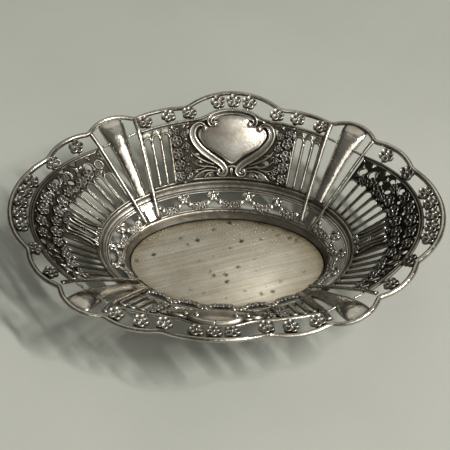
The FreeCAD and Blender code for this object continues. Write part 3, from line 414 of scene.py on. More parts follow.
def sheet(builder, strip, adds, cuts, cell=1.3, soft=0.75, drop=0.5, tone=None):
    """A pierced sheet with rounded edges: what lies in adds and not in cuts.

    cell is the width of its mesh, soft and drop the width and depth of its rounding; tone, if given, sets
    how bright the sheet is by place, which the panels use for painted shade.
    """
    outlines = [dense(np.asarray(p, float), 1.0) for p in list(adds) + list(cuts)]
    adds = outlines[:len(adds)]
    cuts = outlines[len(adds):]
    coords, edges = [], []
    for polygon in outlines:
        first = len(coords)
        coords += polygon.tolist()
        edges += [(first + k, first + (k + 1) % len(polygon)) for k in range(len(polygon))]
    extra = []
    for polygon in outlines:
        ahead, behind = np.roll(polygon, -1, 0), np.roll(polygon, 1, 0)
        d = unit(ahead - behind)
        side = np.stack([-d[:, 1], d[:, 0]], 1)
        for gap in (0.16, 0.42, soft):
            extra += (polygon + side * gap).tolist() + (polygon - side * gap).tolist()
    whole = np.concatenate(outlines)
    (x0, y0), (x1, y1) = whole.min(0), whole.max(0)
    gx, gy = np.meshgrid(np.arange(x0, x1, cell), np.arange(y0, y1, cell))
    gx = gx + (np.arange(gy.shape[0]) % 2 * cell / 2)[:, None]
    extra = np.array(extra + np.stack([gx.ravel(), gy.ravel()], 1).tolist())
    extra = extra[in_any(extra, adds) & ~in_any(extra, cuts)]
    ends = np.concatenate([np.roll(p, -1, 0) for p in outlines])
    away = distance_to(extra, whole, ends)
    extra = extra[away > 0.13]
    key = np.round(extra / 0.22).astype(int)
    first = np.unique(key, axis=0, return_index=True)[1]
    extra = extra[np.sort(first)]
    points = [Vector(c) for c in coords + extra.tolist()]
    net = delaunay_2d_cdt(points, edges, [], 0, 1e-5)
    flat = np.array([tuple(v) for v in net[0]])
    faces = np.array([f for f in net[2] if len(f) == 3])
    middle = flat[faces].mean(1)
    faces = faces[in_any(middle, adds) & ~in_any(middle, cuts)]
    a, b, c = flat[faces[:, 0]], flat[faces[:, 1]], flat[faces[:, 2]]
    area = (b[:, 0] - a[:, 0]) * (c[:, 1] - a[:, 1]) - (b[:, 1] - a[:, 1]) * (c[:, 0] - a[:, 0])
    faces[area < 0] = faces[area < 0][:, ::-1]
    faces = faces[np.abs(area) > 1e-7]
    used, renumbered = np.unique(faces, return_inverse=True)
    faces = renumbered.reshape(faces.shape)
    flat = flat[used]
    open_edges = set()
    for f in faces.tolist():
        for e in ((f[0], f[1]), (f[1], f[2]), (f[2], f[0])):
            if (e[1], e[0]) in open_edges:
                open_edges.remove((e[1], e[0]))
            else:
                open_edges.add(e)
    rim = np.array(sorted(open_edges))
    away = distance_to(flat, flat[rim[:, 0]], flat[rim[:, 1]])
    fall = 1 - np.sqrt(np.clip(1 - (1 - np.minimum(away / soft, 1)) ** 2, 0, 1))
    top = TOP - drop * fall
    # The sheet is made darker within 0.45 mm of its cut edges, and its back is kept dark.
    bright = np.ones(len(flat)) if tone is None else tone(flat)
    bright = bright * (0.35 + 0.65 * np.minimum(away / 0.45, 1))
    count = len(flat)
    points = np.concatenate([strip.place(flat, top), strip.place(flat, 0.3 * drop * fall - TOP)])
    skin = faces.tolist() + [(count + f[2], count + f[1], count + f[0]) for f in faces.tolist()]
    skin += [(s, count + s, count + e, e) for s, e in rim.tolist()]
    builder.add(points, skin, np.concatenate([bright, np.full(count, 0.4)]))


def ribbon(line, width):
    """The outline of a flat ribbon of even width along a line."""
    line = np.asarray(line, float)
    d = unit(np.gradient(line, axis=0))
    side = np.stack([-d[:, 1], d[:, 0]], 1) * width / 2
    return np.concatenate([line + side, (line - side)[::-1]])


def round_top(middle, half, foot, head):
    """A slot with a round head."""
    spring = head - half
    t = np.linspace(0, math.pi, 9)
    arch = np.stack([middle + half * np.cos(t), spring + half * np.sin(t)], 1)
    return np.concatenate([[[middle - half, foot], [middle + half, foot]], arch])


def oval(centre, half_x, half_y, lean, steps, point):
    """A leaning oval opening, more pointed at its ends with more point."""
    t = 2 * math.pi * np.arange(steps) / steps
    x, y = half_x * np.cos(t), half_y * np.sin(t)
    x = x * (1 - point * np.abs(np.sin(t)) ** 3)
    c, s = math.cos(lean), math.sin(lean)
    return np.stack([centre[0] + x * c - y * s, centre[1] + x * s + y * c], 1)


def three_sided(middle, half, top, height):
    """The opening that two arches leave under a straight edge."""
    t = np.linspace(0, 1, 6)
    left = np.stack([middle - half + half * t, top - height * t ** 1.5], 1)
    right = np.stack([middle + half * t, top - height * (1 - t) ** 1.5], 1)
    crown = [[middle + half * 0.4, top + 0.3], [middle - half * 0.4, top + 0.3]]
    return np.concatenate([left, right[1:], crown])


WALLS, GALLERIES = {}, {}
for side in ("front", "back"):
    WALLS[side] = Strip(side, BAND, RAIL_SIDE, SIDE_FOOT, SIDE_RIB_TOP, 44.0)
    GALLERIES[side] = Strip(side, BORDER, BAND_LOW, SIDE_FOOT, SIDE_RIB_TOP)
for side in ("left", "right"):
    WALLS[side] = Strip(side, BAND, RAIL_END, END_FOOT, END_RIB_TOP, 44.9)
    GALLERIES[side] = Strip(side, BORDER, BAND_LOW, END_FOOT, END_RIB_TOP)


# Materials
def new_material(name):
    """A material, its nodes, its shader and the place on the object."""
    material = bpy.data.materials.new(name)
    material.use_nodes = True
    tree = material.node_tree
    return material, tree, tree.nodes["Principled BSDF"], node(tree, "ShaderNodeTexCoord").outputs["Object"]


def opaque(colour):
    """A colour of four numbers, from three or from one for a grey."""
    return (colour if isinstance(colour, tuple) else (colour,) * 3) + (1.0,)


def node(tree, kind, given=(), **settings):
    """A shader node; given fills its inputs with values or with the outputs of other nodes."""
    made = tree.nodes.new(kind)
    for key, value in settings.items():
        setattr(made, key, value)
    for name, value in dict(given).items():
        if isinstance(value, bpy.types.NodeSocket):
            tree.links.new(value, made.inputs[name])
        else:
            made.inputs[name].default_value = value
    return made


def noise(tree, where, scale, detail, roughness=0.5):
    given = {"Vector": where, "Scale": scale, "Detail": detail, "Roughness": roughness}
    return node(tree, "ShaderNodeTexNoise", given)


def vector_math(tree, operation, first, second, output="Vector"):
    given = {0: first} if second is None else {0: first, 1: second}
    return node(tree, "ShaderNodeVectorMath", given, operation=operation).outputs[output]


def mix(tree, factor, a, b, blend="MIX"):
    given = {"Factor": factor, "A": a, "B": b}
    return node(tree, "ShaderNodeMix", given, data_type="RGBA", blend_type=blend).outputs["Result"]


def ramp(tree, source, *stops):
    """Colours along a value; each stop is a place and a colour or grey."""
    made = node(tree, "ShaderNodeValToRGB", {"Fac": source})
    while len(made.color_ramp.elements) < len(stops):
        made.color_ramp.elements.new(0.5)
    for element, (place, colour) in zip(made.color_ramp.elements, stops):
        element.position = place
        element.color = opaque(colour)
    return made.outputs["Color"]


def painted_shade_along(tree, colour, where, axis, start, end, first, last):
    """Paints shade: multiplies a colour by first up to start and by last from end on, along an axis."""
    value = node(tree, "ShaderNodeSeparateXYZ", {"Vector": where}).outputs[axis]
    given = {"Value": value, "From Min": start, "From Max": end, "To Min": first, "To Max": last}
    share = node(tree, "ShaderNodeMapRange", given).outputs["Result"]
    return mix(tree, 1.0, colour, share, "MULTIPLY")


def plate_marks_and_highlight(tree, colour, where, fine, streaks):
    """Dark specks, a painted highlight patch, brush lines and a brown edge."""
    shift = node(tree, "ShaderNodeVectorMath", {0: fine.outputs["Color"], "Scale": 0.004}, operation="SCALE")
    wobble = vector_math(tree, "ADD", where, shift.outputs["Vector"])
    spots = node(tree, "ShaderNodeTexVoronoi", {"Vector": wobble, "Scale": 120.0})
    dots = ramp(tree, spots.outputs["Distance"], (0.08, 0.0), (0.22, 1.0))
    sparse = ramp(tree, noise(tree, where, 60.0, 2.0).outputs["Fac"], (0.44, 1.0), (0.52, 0.0))
    clean = node(tree, "ShaderNodeMath", {0: dots, 1: sparse}, operation="MAXIMUM").outputs["Value"]
    colour = mix(tree, clean, opaque((0.13, 0.095, 0.055)), colour)
    # Painted highlight: the plate keeps full brightness near a spot 22 mm right of and 17 mm in front of its
    # middle and is dimmed to under half 45 mm away.
    near = vector_math(tree, "DISTANCE", wobble, (0.022, -0.017, 0.0), "Value")
    halves = (2 / (BORDER[0] * MM), 2 / (BORDER[1] * MM), 0.0)
    outward = vector_math(tree, "LENGTH", vector_math(tree, "MULTIPLY", wobble, halves), None, "Value")
    lines = noise(tree, streaks, 620.0, 6.0, 0.75).outputs["Fac"]
    for tone in (ramp(tree, near, (0.003, 1.0), (0.018, 0.68), (0.045, 0.46)),
                 ramp(tree, lines, (0.30, 0.72), (0.70, 1.25)),
                 ramp(tree, outward, (0.74, 1.0), (0.90, (0.80, 0.76, 0.68)), (1.0, (0.42, 0.36, 0.28)))):
        colour = mix(tree, 1.0, colour, tone, "MULTIPLY")
    return colour


def silver(name, light, dark, deep, rough, reach, worn, grain, dented=0.42, lines=None, marked=False,
           wear=True):
    """Tarnished silver: bright where it is rubbed, brown to black in the hollows, with painted shade over
    the left end of the dish.

    rough holds the least and most roughness, reach how far a hollow darkens, worn how much tarnish is
    rubbed off, grain and dented the depth of fine and large unevenness, lines the thinness and angle of
    brush lines; marked adds the specks and stains of the plate and a painted highlight on it.
    """
    material, tree, shader, where = new_material(name)
    shader.inputs["Metallic"].default_value = 1.0
    fine = noise(tree, where, 900.0, 4.0, 0.65)
    hollows = node(tree, "ShaderNodeAmbientOcclusion", {"Distance": reach}, samples=6)
    rubbed_and_shaded = ramp(tree, hollows.outputs["AO"], (0.42, 0.0), (0.93, 1.0))
    # The per-point brightness read here holds rubbing wear, and for some pieces painted shade and a painted
    # highlight.
    if wear:
        kept = node(tree, "ShaderNodeAttribute", attribute_name="wear").outputs["Fac"]
        rubbed_and_shaded = node(tree, "ShaderNodeMath", {0: rubbed_and_shaded, 1: kept}, operation="MULTIPLY").outputs["Value"]
    tarnish = ramp(tree, noise(tree, where, 55.0, 6.0, 0.6).outputs["Fac"], (0.34, 0.0), (0.66, 1.0))
    metal = mix(tree, worn, mix(tree, tarnish, opaque(dark), opaque(light)), opaque(light))
    colour = mix(tree, rubbed_and_shaded, opaque(deep), metal)
    height = fine
    if lines:
        given = {"Vector": where, "Rotation": (0, 0, lines[1]), "Scale": (1 / lines[0], 1.0, 1.0)}
        streaks = node(tree, "ShaderNodeMapping", given, vector_type="TEXTURE").outputs["Vector"]
        height = noise(tree, streaks, 2600.0, 5.0, 0.7)
    if marked:
        colour = plate_marks_and_highlight(tree, colour, where, fine, streaks)
    # Painted shade: every silver is dimmed to 0.6 at the left end of the dish (x below -100 mm), fading out
    # by x = -60 mm.
    colour = painted_shade_along(tree, colour, where, "X", -0.100, -0.060, 0.60, 1.0)
    tree.links.new(colour, shader.inputs["Base Color"])
    open_rough = ramp(tree, fine.outputs["Fac"], (0.3, rough[0]), (0.75, rough[1]))
    tree.links.new(mix(tree, rubbed_and_shaded, opaque(0.62), open_rough), shader.inputs["Roughness"])
    dents = noise(tree, where, 210.0, 3.0, 0.6).outputs["Fac"]
    uneven = node(tree, "ShaderNodeBump", {"Height": dents, "Strength": dented, "Distance": 0.0010})
    given = {"Height": height.outputs["Fac"], "Normal": uneven.outputs["Normal"], "Strength": grain,
             "Distance": 0.0004}
    tree.links.new(node(tree, "ShaderNodeBump", given).outputs["Normal"], shader.inputs["Normal"])
    return material


plain = silver("plain_silver", (0.66, 0.63, 0.57), (0.22, 0.19, 0.145), (0.035, 0.028, 0.020), (0.16, 0.30),
               0.0024, 0.2, 0.08)
plate = silver("plate_silver", (0.95, 0.89, 0.77), (0.70, 0.62, 0.47), (0.20, 0.15, 0.10), (0.20, 0.38),
               0.0012, 0.3, 0.22, 0.10, (0.03, 0.35), True, False)
pierced = silver("pierced_silver", (0.56, 0.53, 0.46), (0.20, 0.175, 0.135), (0.022, 0.019, 0.014),
                 (0.13, 0.26), 0.0026, 0.2, 0.12)
# Painted shade: a darker copy of the carved silver, used for the flowers, brackets and rosettes of the two
# ends so that the ends read dark.
shaded_ornament = silver("ornament_silver", (0.72, 0.69, 0.62), (0.17, 0.15, 0.12), (0.010, 0.009, 0.007),
                  (0.11, 0.22), 0.0022, 0.2, 0.10, 0.12)
smooth = silver("shield_silver", (0.95, 0.92, 0.86), (0.34, 0.27, 0.19), (0.09, 0.07, 0.05), (0.20, 0.38),
                0.0020, 0.10, 0.50, 0.10, (0.05, -0.45))
carved = silver("carved_silver", (0.88, 0.85, 0.77), (0.34, 0.29, 0.22), (0.016, 0.013, 0.010), (0.13, 0.26),
                0.0018, 0.3, 0.10, 0.15)
unworn = silver("foot_silver", (0.42, 0.40, 0.35), (0.26, 0.23, 0.18), (0.045, 0.036, 0.026), (0.17, 0.32),
                0.0024, 0.35, 0.08, wear=False)


# Nodes that keep their CAD mesh
def coat(name, material):
    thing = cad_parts[name]
    thing.data.materials.clear()
    thing.data.materials.append(material)
    return thing


coat("base_plate", plate)

# Rings swept round the dish: height, place and width of the bumps on their inner face
BORDER_BUMPS = ((0.45, 0.88, 0.09), (-0.16, 0.45, 0.25), (-0.30, 0.08, 0.06))
BAND_BUMPS = ((0.50, 0.10, 0.08), (0.50, 0.90, 0.08), (0.26, 0.36, 0.06), (-0.45, 0.22, 0.05),
              (-0.55, 0.62, 0.15))


def ring_piece(name, low, high, wall, bumps, count):
    """A ring wall with a moulded slanted inner face, dark in its dips, and a plain outer face."""
    low, high = np.array(low), np.array(high)
    rise = high - low
    out = np.array([rise[2] * 2, rise[2] * 2, -(rise[0] + rise[1]) / 4])
    out = out / np.linalg.norm(out[[0, 2]])
    shares = np.linspace(0, 1, count)
    heights = sum(tall * np.exp(-((shares - at) / wide) ** 2) for tall, at, wide in bumps)
    back = np.array([2 * wall, 2 * wall, 0])
    inner = low + rise * shares[:, None] - out * heights[:, None]
    corners = np.concatenate([inner, [high + back, low + back]])
    steps = 240
    t = 2 * math.pi * np.arange(steps) / steps
    sections = np.stack([np.cos(t)[:, None] * corners[None, :, 0] / 2,
                         np.sin(t)[:, None] * corners[None, :, 1] / 2,
                         np.broadcast_to(corners[None, :, 2], (steps, len(corners)))], -1)
    bright = np.concatenate([np.clip(0.75 + 1.2 * heights, 0.12, 1), [0.5, 0.5]])
    builder = Builder()
    builder.add(*sections_mesh(sections, True), np.tile(bright, steps))
    builder.make(name, plain, 50)


ring_piece("base_border", (111.8, 64.8, 0), BORDER, 1.2, BORDER_BUMPS, 28)
ring_piece("middle_band", BAND_LOW, BAND, 1.5, BAND_BUMPS, 34)


# Rim wire
def arc_through(a, b, c, steps):
    """Points on the circle through three points, from the first to just before the last."""
    a, b, c = (np.asarray(v, float) for v in (a, b, c))
    u, v = b - a, c - a
    w = np.cross(u, v)
    centre = a + (np.dot(v, v) * np.cross(w, u) + np.dot(u, u) * np.cross(v, w)) / (2 * np.dot(w, w))
    x = unit(a - centre)
    y = np.cross(unit(w), x)
    r = np.linalg.norm(a - centre)
    end = math.atan2(np.dot(c - centre, y), np.dot(c - centre, x)) % (2 * math.pi)
    t = np.linspace(0, end, steps + 1)[:-1]
    return centre + r * (np.cos(t)[:, None] * x + np.sin(t)[:, None] * y)


SIDE_CREST = (0, 90.0, 49.6)
SIDE_NOTCH = (28.1, 81.5, 44.2)
SHOULDER = (44.2, 79.9, 42.8)
FLUTE_CREST = (74.1, 69.6, 44.8)
FLANK = (96.5, 47.8, 46.4)
END_NOTCH = (103.1, 33.6, 47.2)
END_CREST = (118.7, 0, 47.0)


def rim_line():
    """The wavy line of the rim: arcs between the crests and notches of a quarter, mirrored."""
    steps = 30
    quarter = [arc_through(mirror(END_NOTCH, 1, -1), END_CREST, END_NOTCH, 2 * steps)[steps:],
               arc_through(END_NOTCH, FLANK, END_RIB_TOP, steps),
               arc_through(END_RIB_TOP, FLUTE_CREST, SIDE_RIB_TOP, steps),
               arc_through(SIDE_RIB_TOP, SHOULDER, SIDE_NOTCH, steps),
               arc_through(SIDE_NOTCH, SIDE_CREST, mirror(SIDE_NOTCH, -1, 1), 2 * steps)[:steps + 1]]
    quarter = np.concatenate(quarter)
    half = np.concatenate([quarter[:-1], mirror(quarter, -1, 1)[::-1]])
    loop = np.concatenate([half[:-1], mirror(half, 1, -1)[::-1][:-1]])
    length = np.concatenate([[0], np.cumsum(np.linalg.norm(np.roll(loop, -1, 0) - loop, axis=1))])
    even = np.linspace(0, length[-1], 641)[:-1]
    closed = np.concatenate([loop, loop[:1]])
    loop = np.stack([np.interp(even, length, closed[:, k]) for k in range(3)], 1)
    for turn in range(4):
        loop = 0.25 * np.roll(loop, 1, 0) + 0.5 * loop + 0.25 * np.roll(loop, -1, 0)
    return loop


RIM = rim_line()
made = Builder()
wire(made, RIM * np.array([1.001, 1.001, 1.0]), RIM_RADIUS, 14, True,
     scales=1 + 0.32 * np.clip(np.abs(RIM[:, 0]) / 60.0 - 1.0, 0, 1))
made.make("rim_wire", plain)


# Rails
def rail_line(strip, p):
    point = strip.point(p, 1.0)
    if not strip.on_end:
        swell = np.exp(-(p / 0.26) ** 4)
        point[:, 1] += np.sign(math.sin(strip.turn)) * 4.8 * swell
        point[:, 2] += 2.0 * swell
    return point


for side, strip in WALLS.items():
    made = Builder()
    line = rail_line(strip, np.linspace(-0.985, 0.985, 97))
    # Painted shade: the rails of the two ends get a low brightness value (0.25) so they read dark; the side
    # rails stay bright (0.9).
    wire(made, line, RAIL_RADIUS, 12, wear=0.25 if strip.on_end else 0.9)
    made.make("rail_" + side, plain)


# Ribs
def crossing(ring, foot, top):
    """Where a rib crosses a ring."""
    return ellipse(ring, angle_on_line(ring, foot, top))


def rib(name, foot, top, rail, x, y, width):
    run = np.array([top[0] - foot[0], top[1] - foot[1], 0.0])
    knots = [np.array([foot[0], foot[1], BORDER[2]]), crossing(BAND, foot, top), crossing(rail, foot, top),
             np.array(top) - unit(run) * 1.3]
    runs = [np.linspace(a, b, 14)[:-1] for a, b in zip(knots[:-1], knots[1:])]
    path = np.concatenate(runs + [[knots[-1]]])
    soften(path, 3)
    path = mirror(path + UP * 1.35, x, y)
    across, up = path_axes(path)
    wide = np.interp(np.linspace(0, 1, len(path)), [0, 0.3, 0.7, 1], [1.1, 0.9, 1.0, 1.3]) * width
    shape = [(math.cos(a), 0.45 + 1.25 * math.sin(a)) for a in np.linspace(0, math.pi, 11)]
    shape += [(-1.0, 0.1), (-0.85, -0.1), (0.85, -0.1), (1.0, 0.1)]
    sections = np.stack([path + across * (u * wide)[:, None] + up * v for u, v in shape], 1)
    builder = Builder()
    builder.add(*sections_mesh(sections))
    builder.make(name, plain)


for quarter, x, y in QUARTERS:
    rib("side_rib_" + quarter, SIDE_FOOT, SIDE_RIB_TOP, RAIL_SIDE, x, y, 1.4)
    rib("end_rib_" + quarter, END_FOOT, END_RIB_TOP, RAIL_END, x, y, 1.0)


# Flutes and what goes with them
side_angle = angle_on_line(BAND, SIDE_FOOT, SIDE_RIB_TOP)
end_angle = angle_on_line(BAND, END_FOOT, END_RIB_TOP)
flute_low = ellipse(BAND, (side_angle + end_angle) / 2)
flute_out = unit(np.array(FLUTE_CREST) - flute_low)
flute_start = flute_low + flute_out * SEAT
flute_end = np.array(FLUTE_CREST) - flute_out * 0.7


def flute(name, x, y):
    start, end = mirror(flute_start, x, y), mirror(flute_end, x, y)
    length = np.linalg.norm(end - start)
    along = unit(end - start)
    across = unit(np.cross(UP, along))
    out = np.cross(along, across)
    t = np.concatenate([np.linspace(0, 0.9, 44), 0.9 + 0.1 * np.sin(np.linspace(0.12, math.pi / 2, 12))])
    width = np.interp(t, [0, .12, .35, .5, .62, .74, .82, .9], [3.5, 3.65, 4.35, 4.85, 5.5, 6.4, 7.1, 7.5])
    tail = np.clip((t - 0.88) / 0.12, 0, 1)
    closing = np.sqrt(np.clip(1 - tail ** 5, 0.05, 1))
    width = width * closing
    rise = np.interp(t, [0, .35, .62, .78, .9, 1], [2.7, 3.2, 3.9, 4.0, 3.0, 0.9]) * closing
    bow = np.interp(t, [0, .35, .62, .82, .94, 1], [0.0, 1.7, 2.4, 1.8, 1.0, 0.4])
    for values in (width[:44], rise[:44], bow):
        soften(values, 4)
    a = np.linspace(0, math.pi, 25)
    sections = []
    for k in range(len(t)):
        centre = start + along * length * t[k] + out * bow[k]
        wide, high = width[k] * np.cos(a), rise[k] * np.sin(a) ** 0.85
        outer = centre + across * wide[:, None] + out * high[:, None]
        wide, high = max(width[k] - 0.8, 0.05) * np.cos(a[::-1]), max(rise[k] - 0.8, 0.05) * np.sin(a[::-1])
        inner = centre + across * wide[:, None] + out * high[:, None]
        if k == len(t) - 1:
            inner = inner - along * 0.6
        sections.append(np.concatenate([outer, inner]))
    builder = Builder()
    builder.add(*sections_mesh(np.array(sections)))
    builder.make(name, plain, 60)


def tie_piece(name, x, y):
    side_end = mirror(crossing(RAIL_SIDE, SIDE_FOOT, SIDE_RIB_TOP), x, y)
    other_end = mirror(crossing(RAIL_END, END_FOOT, END_RIB_TOP), x, y)
    middle = (side_end + other_end) / 2
    between = unit(other_end - side_end)
    builder = Builder()
    for start, way in ((side_end, between), (other_end, -between)):
        first, last = start + way * 0.9, middle - way * 5.9
        path = np.linspace(first, last, 25)
        t = np.linspace(0, 1, 25)
        swell = 0.72 + 0.38 * np.exp(-((t - 0.32) / 0.09) ** 2) + 0.38 * np.exp(-((t - 0.68) / 0.09) ** 2)
        wire(builder, path + UP * 0.5, TIE_RADIUS, 10, False, swell)
    builder.make(name, plain)


for quarter, x, y in QUARTERS:
    flute("flute_" + quarter, x, y)
    tie_piece("flute_ties_" + quarter, x, y)
    bevel = coat("flute_foot_" + quarter, unworn).modifiers.new("soft_edges", "BEVEL")
    bevel.width = 0.0003
    bevel.segments = 3
    bevel.limit_method = "ANGLE"


# Pierced walls
def both(rows):
    """Each row, followed by its mirror image unless it is in the middle."""
    return [r for row in rows for r in ((row, (-row[0], *row[1:])) if row[0] > 0 else (row,))]


def slots_of(strip, rows):
    run, slant = strip.run, strip.slant
    return [round_top(p * run, w * run, SLOT_FOOT, h * slant) for p, w, h in both(rows)]


def spandrels(strip, rows, top, height):
    return [three_sided(p * strip.run, w * strip.run, top * strip.slant, height) for p, w in both(rows)]


def level_line(strip, count):
    """Points along the top of a panel."""
    return np.stack([np.linspace(-0.97, 0.97, count) * strip.run, np.full(count, strip.slant - 1.5)], 1)


def panel_outline(strip):
    half, low, high = strip.run * 0.978, 0.7, strip.slant - 0.7
    return [[-half, low], [half, low], [half, high], [-half, high]]


def slat_lines(builder, strip, rows, width, height):
    """A fine raised moulding round the head and down both sides of each slot."""
    for p, w, h in both(rows):
        middle, half = p * strip.run, w * strip.run + 0.36
        head = h * strip.slant + 0.36
        t = np.linspace(0, math.pi, 13)
        arch = np.stack([middle + half * np.cos(t), head - half + half * np.sin(t)], 1)
        rise = [SLOT_FOOT + f * (head - half - SLOT_FOOT) for f in (0, .25, .5, .75)]
        up, down = [[middle + half, y] for y in rise], [[middle - half, y] for y in rise[::-1]]
        line = np.concatenate([up, arch, down])
        bar(builder, strip, line, width, height, TOP - 0.12)


def tracery(builder, strip, rows, width, height):
    """Single bars between the slots, joined by round arches over them."""
    run = strip.run
    edges = sorted({round((a[0] + b[0]) / 2, 4) for a, b in zip(rows[:-1], rows[1:])})
    step = abs(rows[0][0] - rows[1][0]) / 2
    edges = [edges[0] - 2 * step] + edges + [edges[-1] + 2 * step]
    spring = rows[0][2] * strip.slant - step * run
    for sign in (1, -1):
        for edge in edges:
            line = np.stack([np.full(16, sign * edge * run), np.linspace(1.4, spring + 0.4, 16)], 1)
            bar(builder, strip, line, width, height, TOP - 0.15)
        for row in rows:
            t = np.linspace(0, math.pi, 15)
            top = row[2] * strip.slant + 0.5
            x = sign * row[0] * run + step * run * np.cos(t)
            arch = np.stack([x, spring + (top - spring) * np.sin(t)], 1)
            bar(builder, strip, arch, width * 0.85, height, TOP - 0.15)


SIDE_SLOTS = ((0.925, 0.030, 0.85), (0.825, 0.033, 0.87), (0.725, 0.031, 0.85))
SIDE_SPANDRELS = ((0.875, 0.026), (0.775, 0.026))
SIDE_GAPS = ((0.575, 0.10, 1.5, 1.1, 0.4), (0.495, 0.215, 0.9, 1.6, 0.5), (0.665, 0.21, 0.8, 1.5, -0.2),
             (0.515, 0.40, 0.8, 1.5, 0.3), (0.665, 0.46, 0.7, 1.5, 0.1), (0.50, 0.60, 0.7, 1.4, -0.3),
             (0.61, 0.77, 0.8, 1.3, 0.4), (0.665, 0.86, 0.8, 1.2, 0.0), (0.47, 0.83, 0.7, 1.2, 0.0),
             (0.595, 0.415, 0.6, 1.0, -0.6), (0.60, 0.24, 0.6, 1.0, 0.7))
SCROLL_GAPS = ((0.37, 0.11, 3.0, 1.5, 0.2), (0.235, 0.095, 2.0, 1.2, 0.1), (0.40, 0.33, 1.5, 1.3, 0.7),
               (0.085, 0.095, 1.5, 1.2, 0.0), (0.30, 0.245, 1.6, 0.9, 0.3))


def side_panel(side):
    strip = WALLS[side]
    cuts = slots_of(strip, SIDE_SLOTS) + spandrels(strip, SIDE_SPANDRELS, 0.955, 2.6)
    for p, q, a, b, lean in both(SIDE_GAPS) + both(SCROLL_GAPS):
        cuts.append(oval(strip.plan((p, q)), a, b, -lean if p > 0 else lean, 14, 0.25))
    builder = Builder()
    # Painted shade: the middle of the sheet, behind the shield and the flower sprays, is kept dark (0.10);
    # the slotted outer parts stay bright.
    sheet(builder, strip, [panel_outline(strip)], cuts,
          tone=lambda xy: np.where(np.abs(xy[:, 0]) < 0.68 * strip.run, 0.10, 1.0))
    tracery(builder, strip, SIDE_SLOTS, 1.9, 1.15)
    top = level_line(strip, 60)
    keep = np.abs(top[:, 0]) > 0.44 * strip.run
    for part in (top[keep & (top[:, 0] > 0)], top[keep & (top[:, 0] < 0)]):
        bar(builder, strip, part, 0.8, 0.4, TOP - 0.1)
    builder.make("side_panel_" + side, pierced)


END_SLOTS = ((0.915, 0.046, 0.58), (0.790, 0.046, 0.60), (0.665, 0.046, 0.56), (0.540, 0.046, 0.53),
             (0.415, 0.046, 0.53), (0.290, 0.046, 0.55))
END_CENTRE = ((0.0, 0.040, 0.50), (0.1035, 0.036, 0.50))
END_OVALS = ((0.905, 0.765, 1.5, 3.0, 0.05), (0.80, 0.79, 1.6, 2.9, 0.0))
END_SPANDRELS = ((0.855, 0.022), (0.70, 0.034), (0.56, 0.034))
END_GAPS = ((0.67, 0.76, 1.0, 1.6, 0.3), (0.535, 0.73, 1.2, 2.0, -0.4), (0.43, 0.875, 1.6, 2.1, 0.2),
            (0.165, 0.755, 1.0, 1.0, 0.0), (0.335, 0.76, 1.0, 1.1, 0.3), (0.165, 0.565, 1.0, 1.0, 0.0),
            (0.335, 0.57, 1.0, 1.0, 0.2), (0.59, 0.88, 1.4, 1.6, 0.3), (0.245, 0.93, 0.9, 0.7, 0.0))


def end_panel(side):
    strip = WALLS[side]
    cuts = slots_of(strip, END_SLOTS + END_CENTRE)
    for p, q, a, b, lean in both(END_OVALS):
        cuts.append(oval(strip.plan((p, q)), a, b, lean, 18, 0.1))
    cuts += spandrels(strip, END_SPANDRELS, 0.945, 2.7)
    for p, q, a, b, lean in both(END_GAPS):
        cuts.append(oval(strip.plan((p, q)), a, b, -lean if p > 0 else lean, 12, 0.25))
    builder = Builder()
    # Painted shade: the upper half of the sheet, behind the flowers, is kept dark (down to 0.06); the
    # slotted lower half stays brighter (0.6).
    sheet(builder, strip, [panel_outline(strip)], cuts,
          tone=lambda xy: np.clip(0.7 - 0.65 * (xy[:, 1] - 0.50 * strip.slant) / 2.0, 0.06, 0.6))
    slat_lines(builder, strip, END_SLOTS, 0.75, 0.65)
    for p, q, a, b, lean in both(END_OVALS):
        ring = oval(strip.plan((p, q)), a + 0.42, b + 0.42, lean, 28, 0.1)
        bar(builder, strip, np.concatenate([ring, ring[:2]]), 0.6, 0.4, TOP - 0.1)
    bar(builder, strip, level_line(strip, 70), 0.8, 0.4, TOP - 0.1)
    builder.make("end_panel_" + side, pierced)


for side in ("front", "back"):
    side_panel(side)
for side in ("left", "right"):
    end_panel(side)


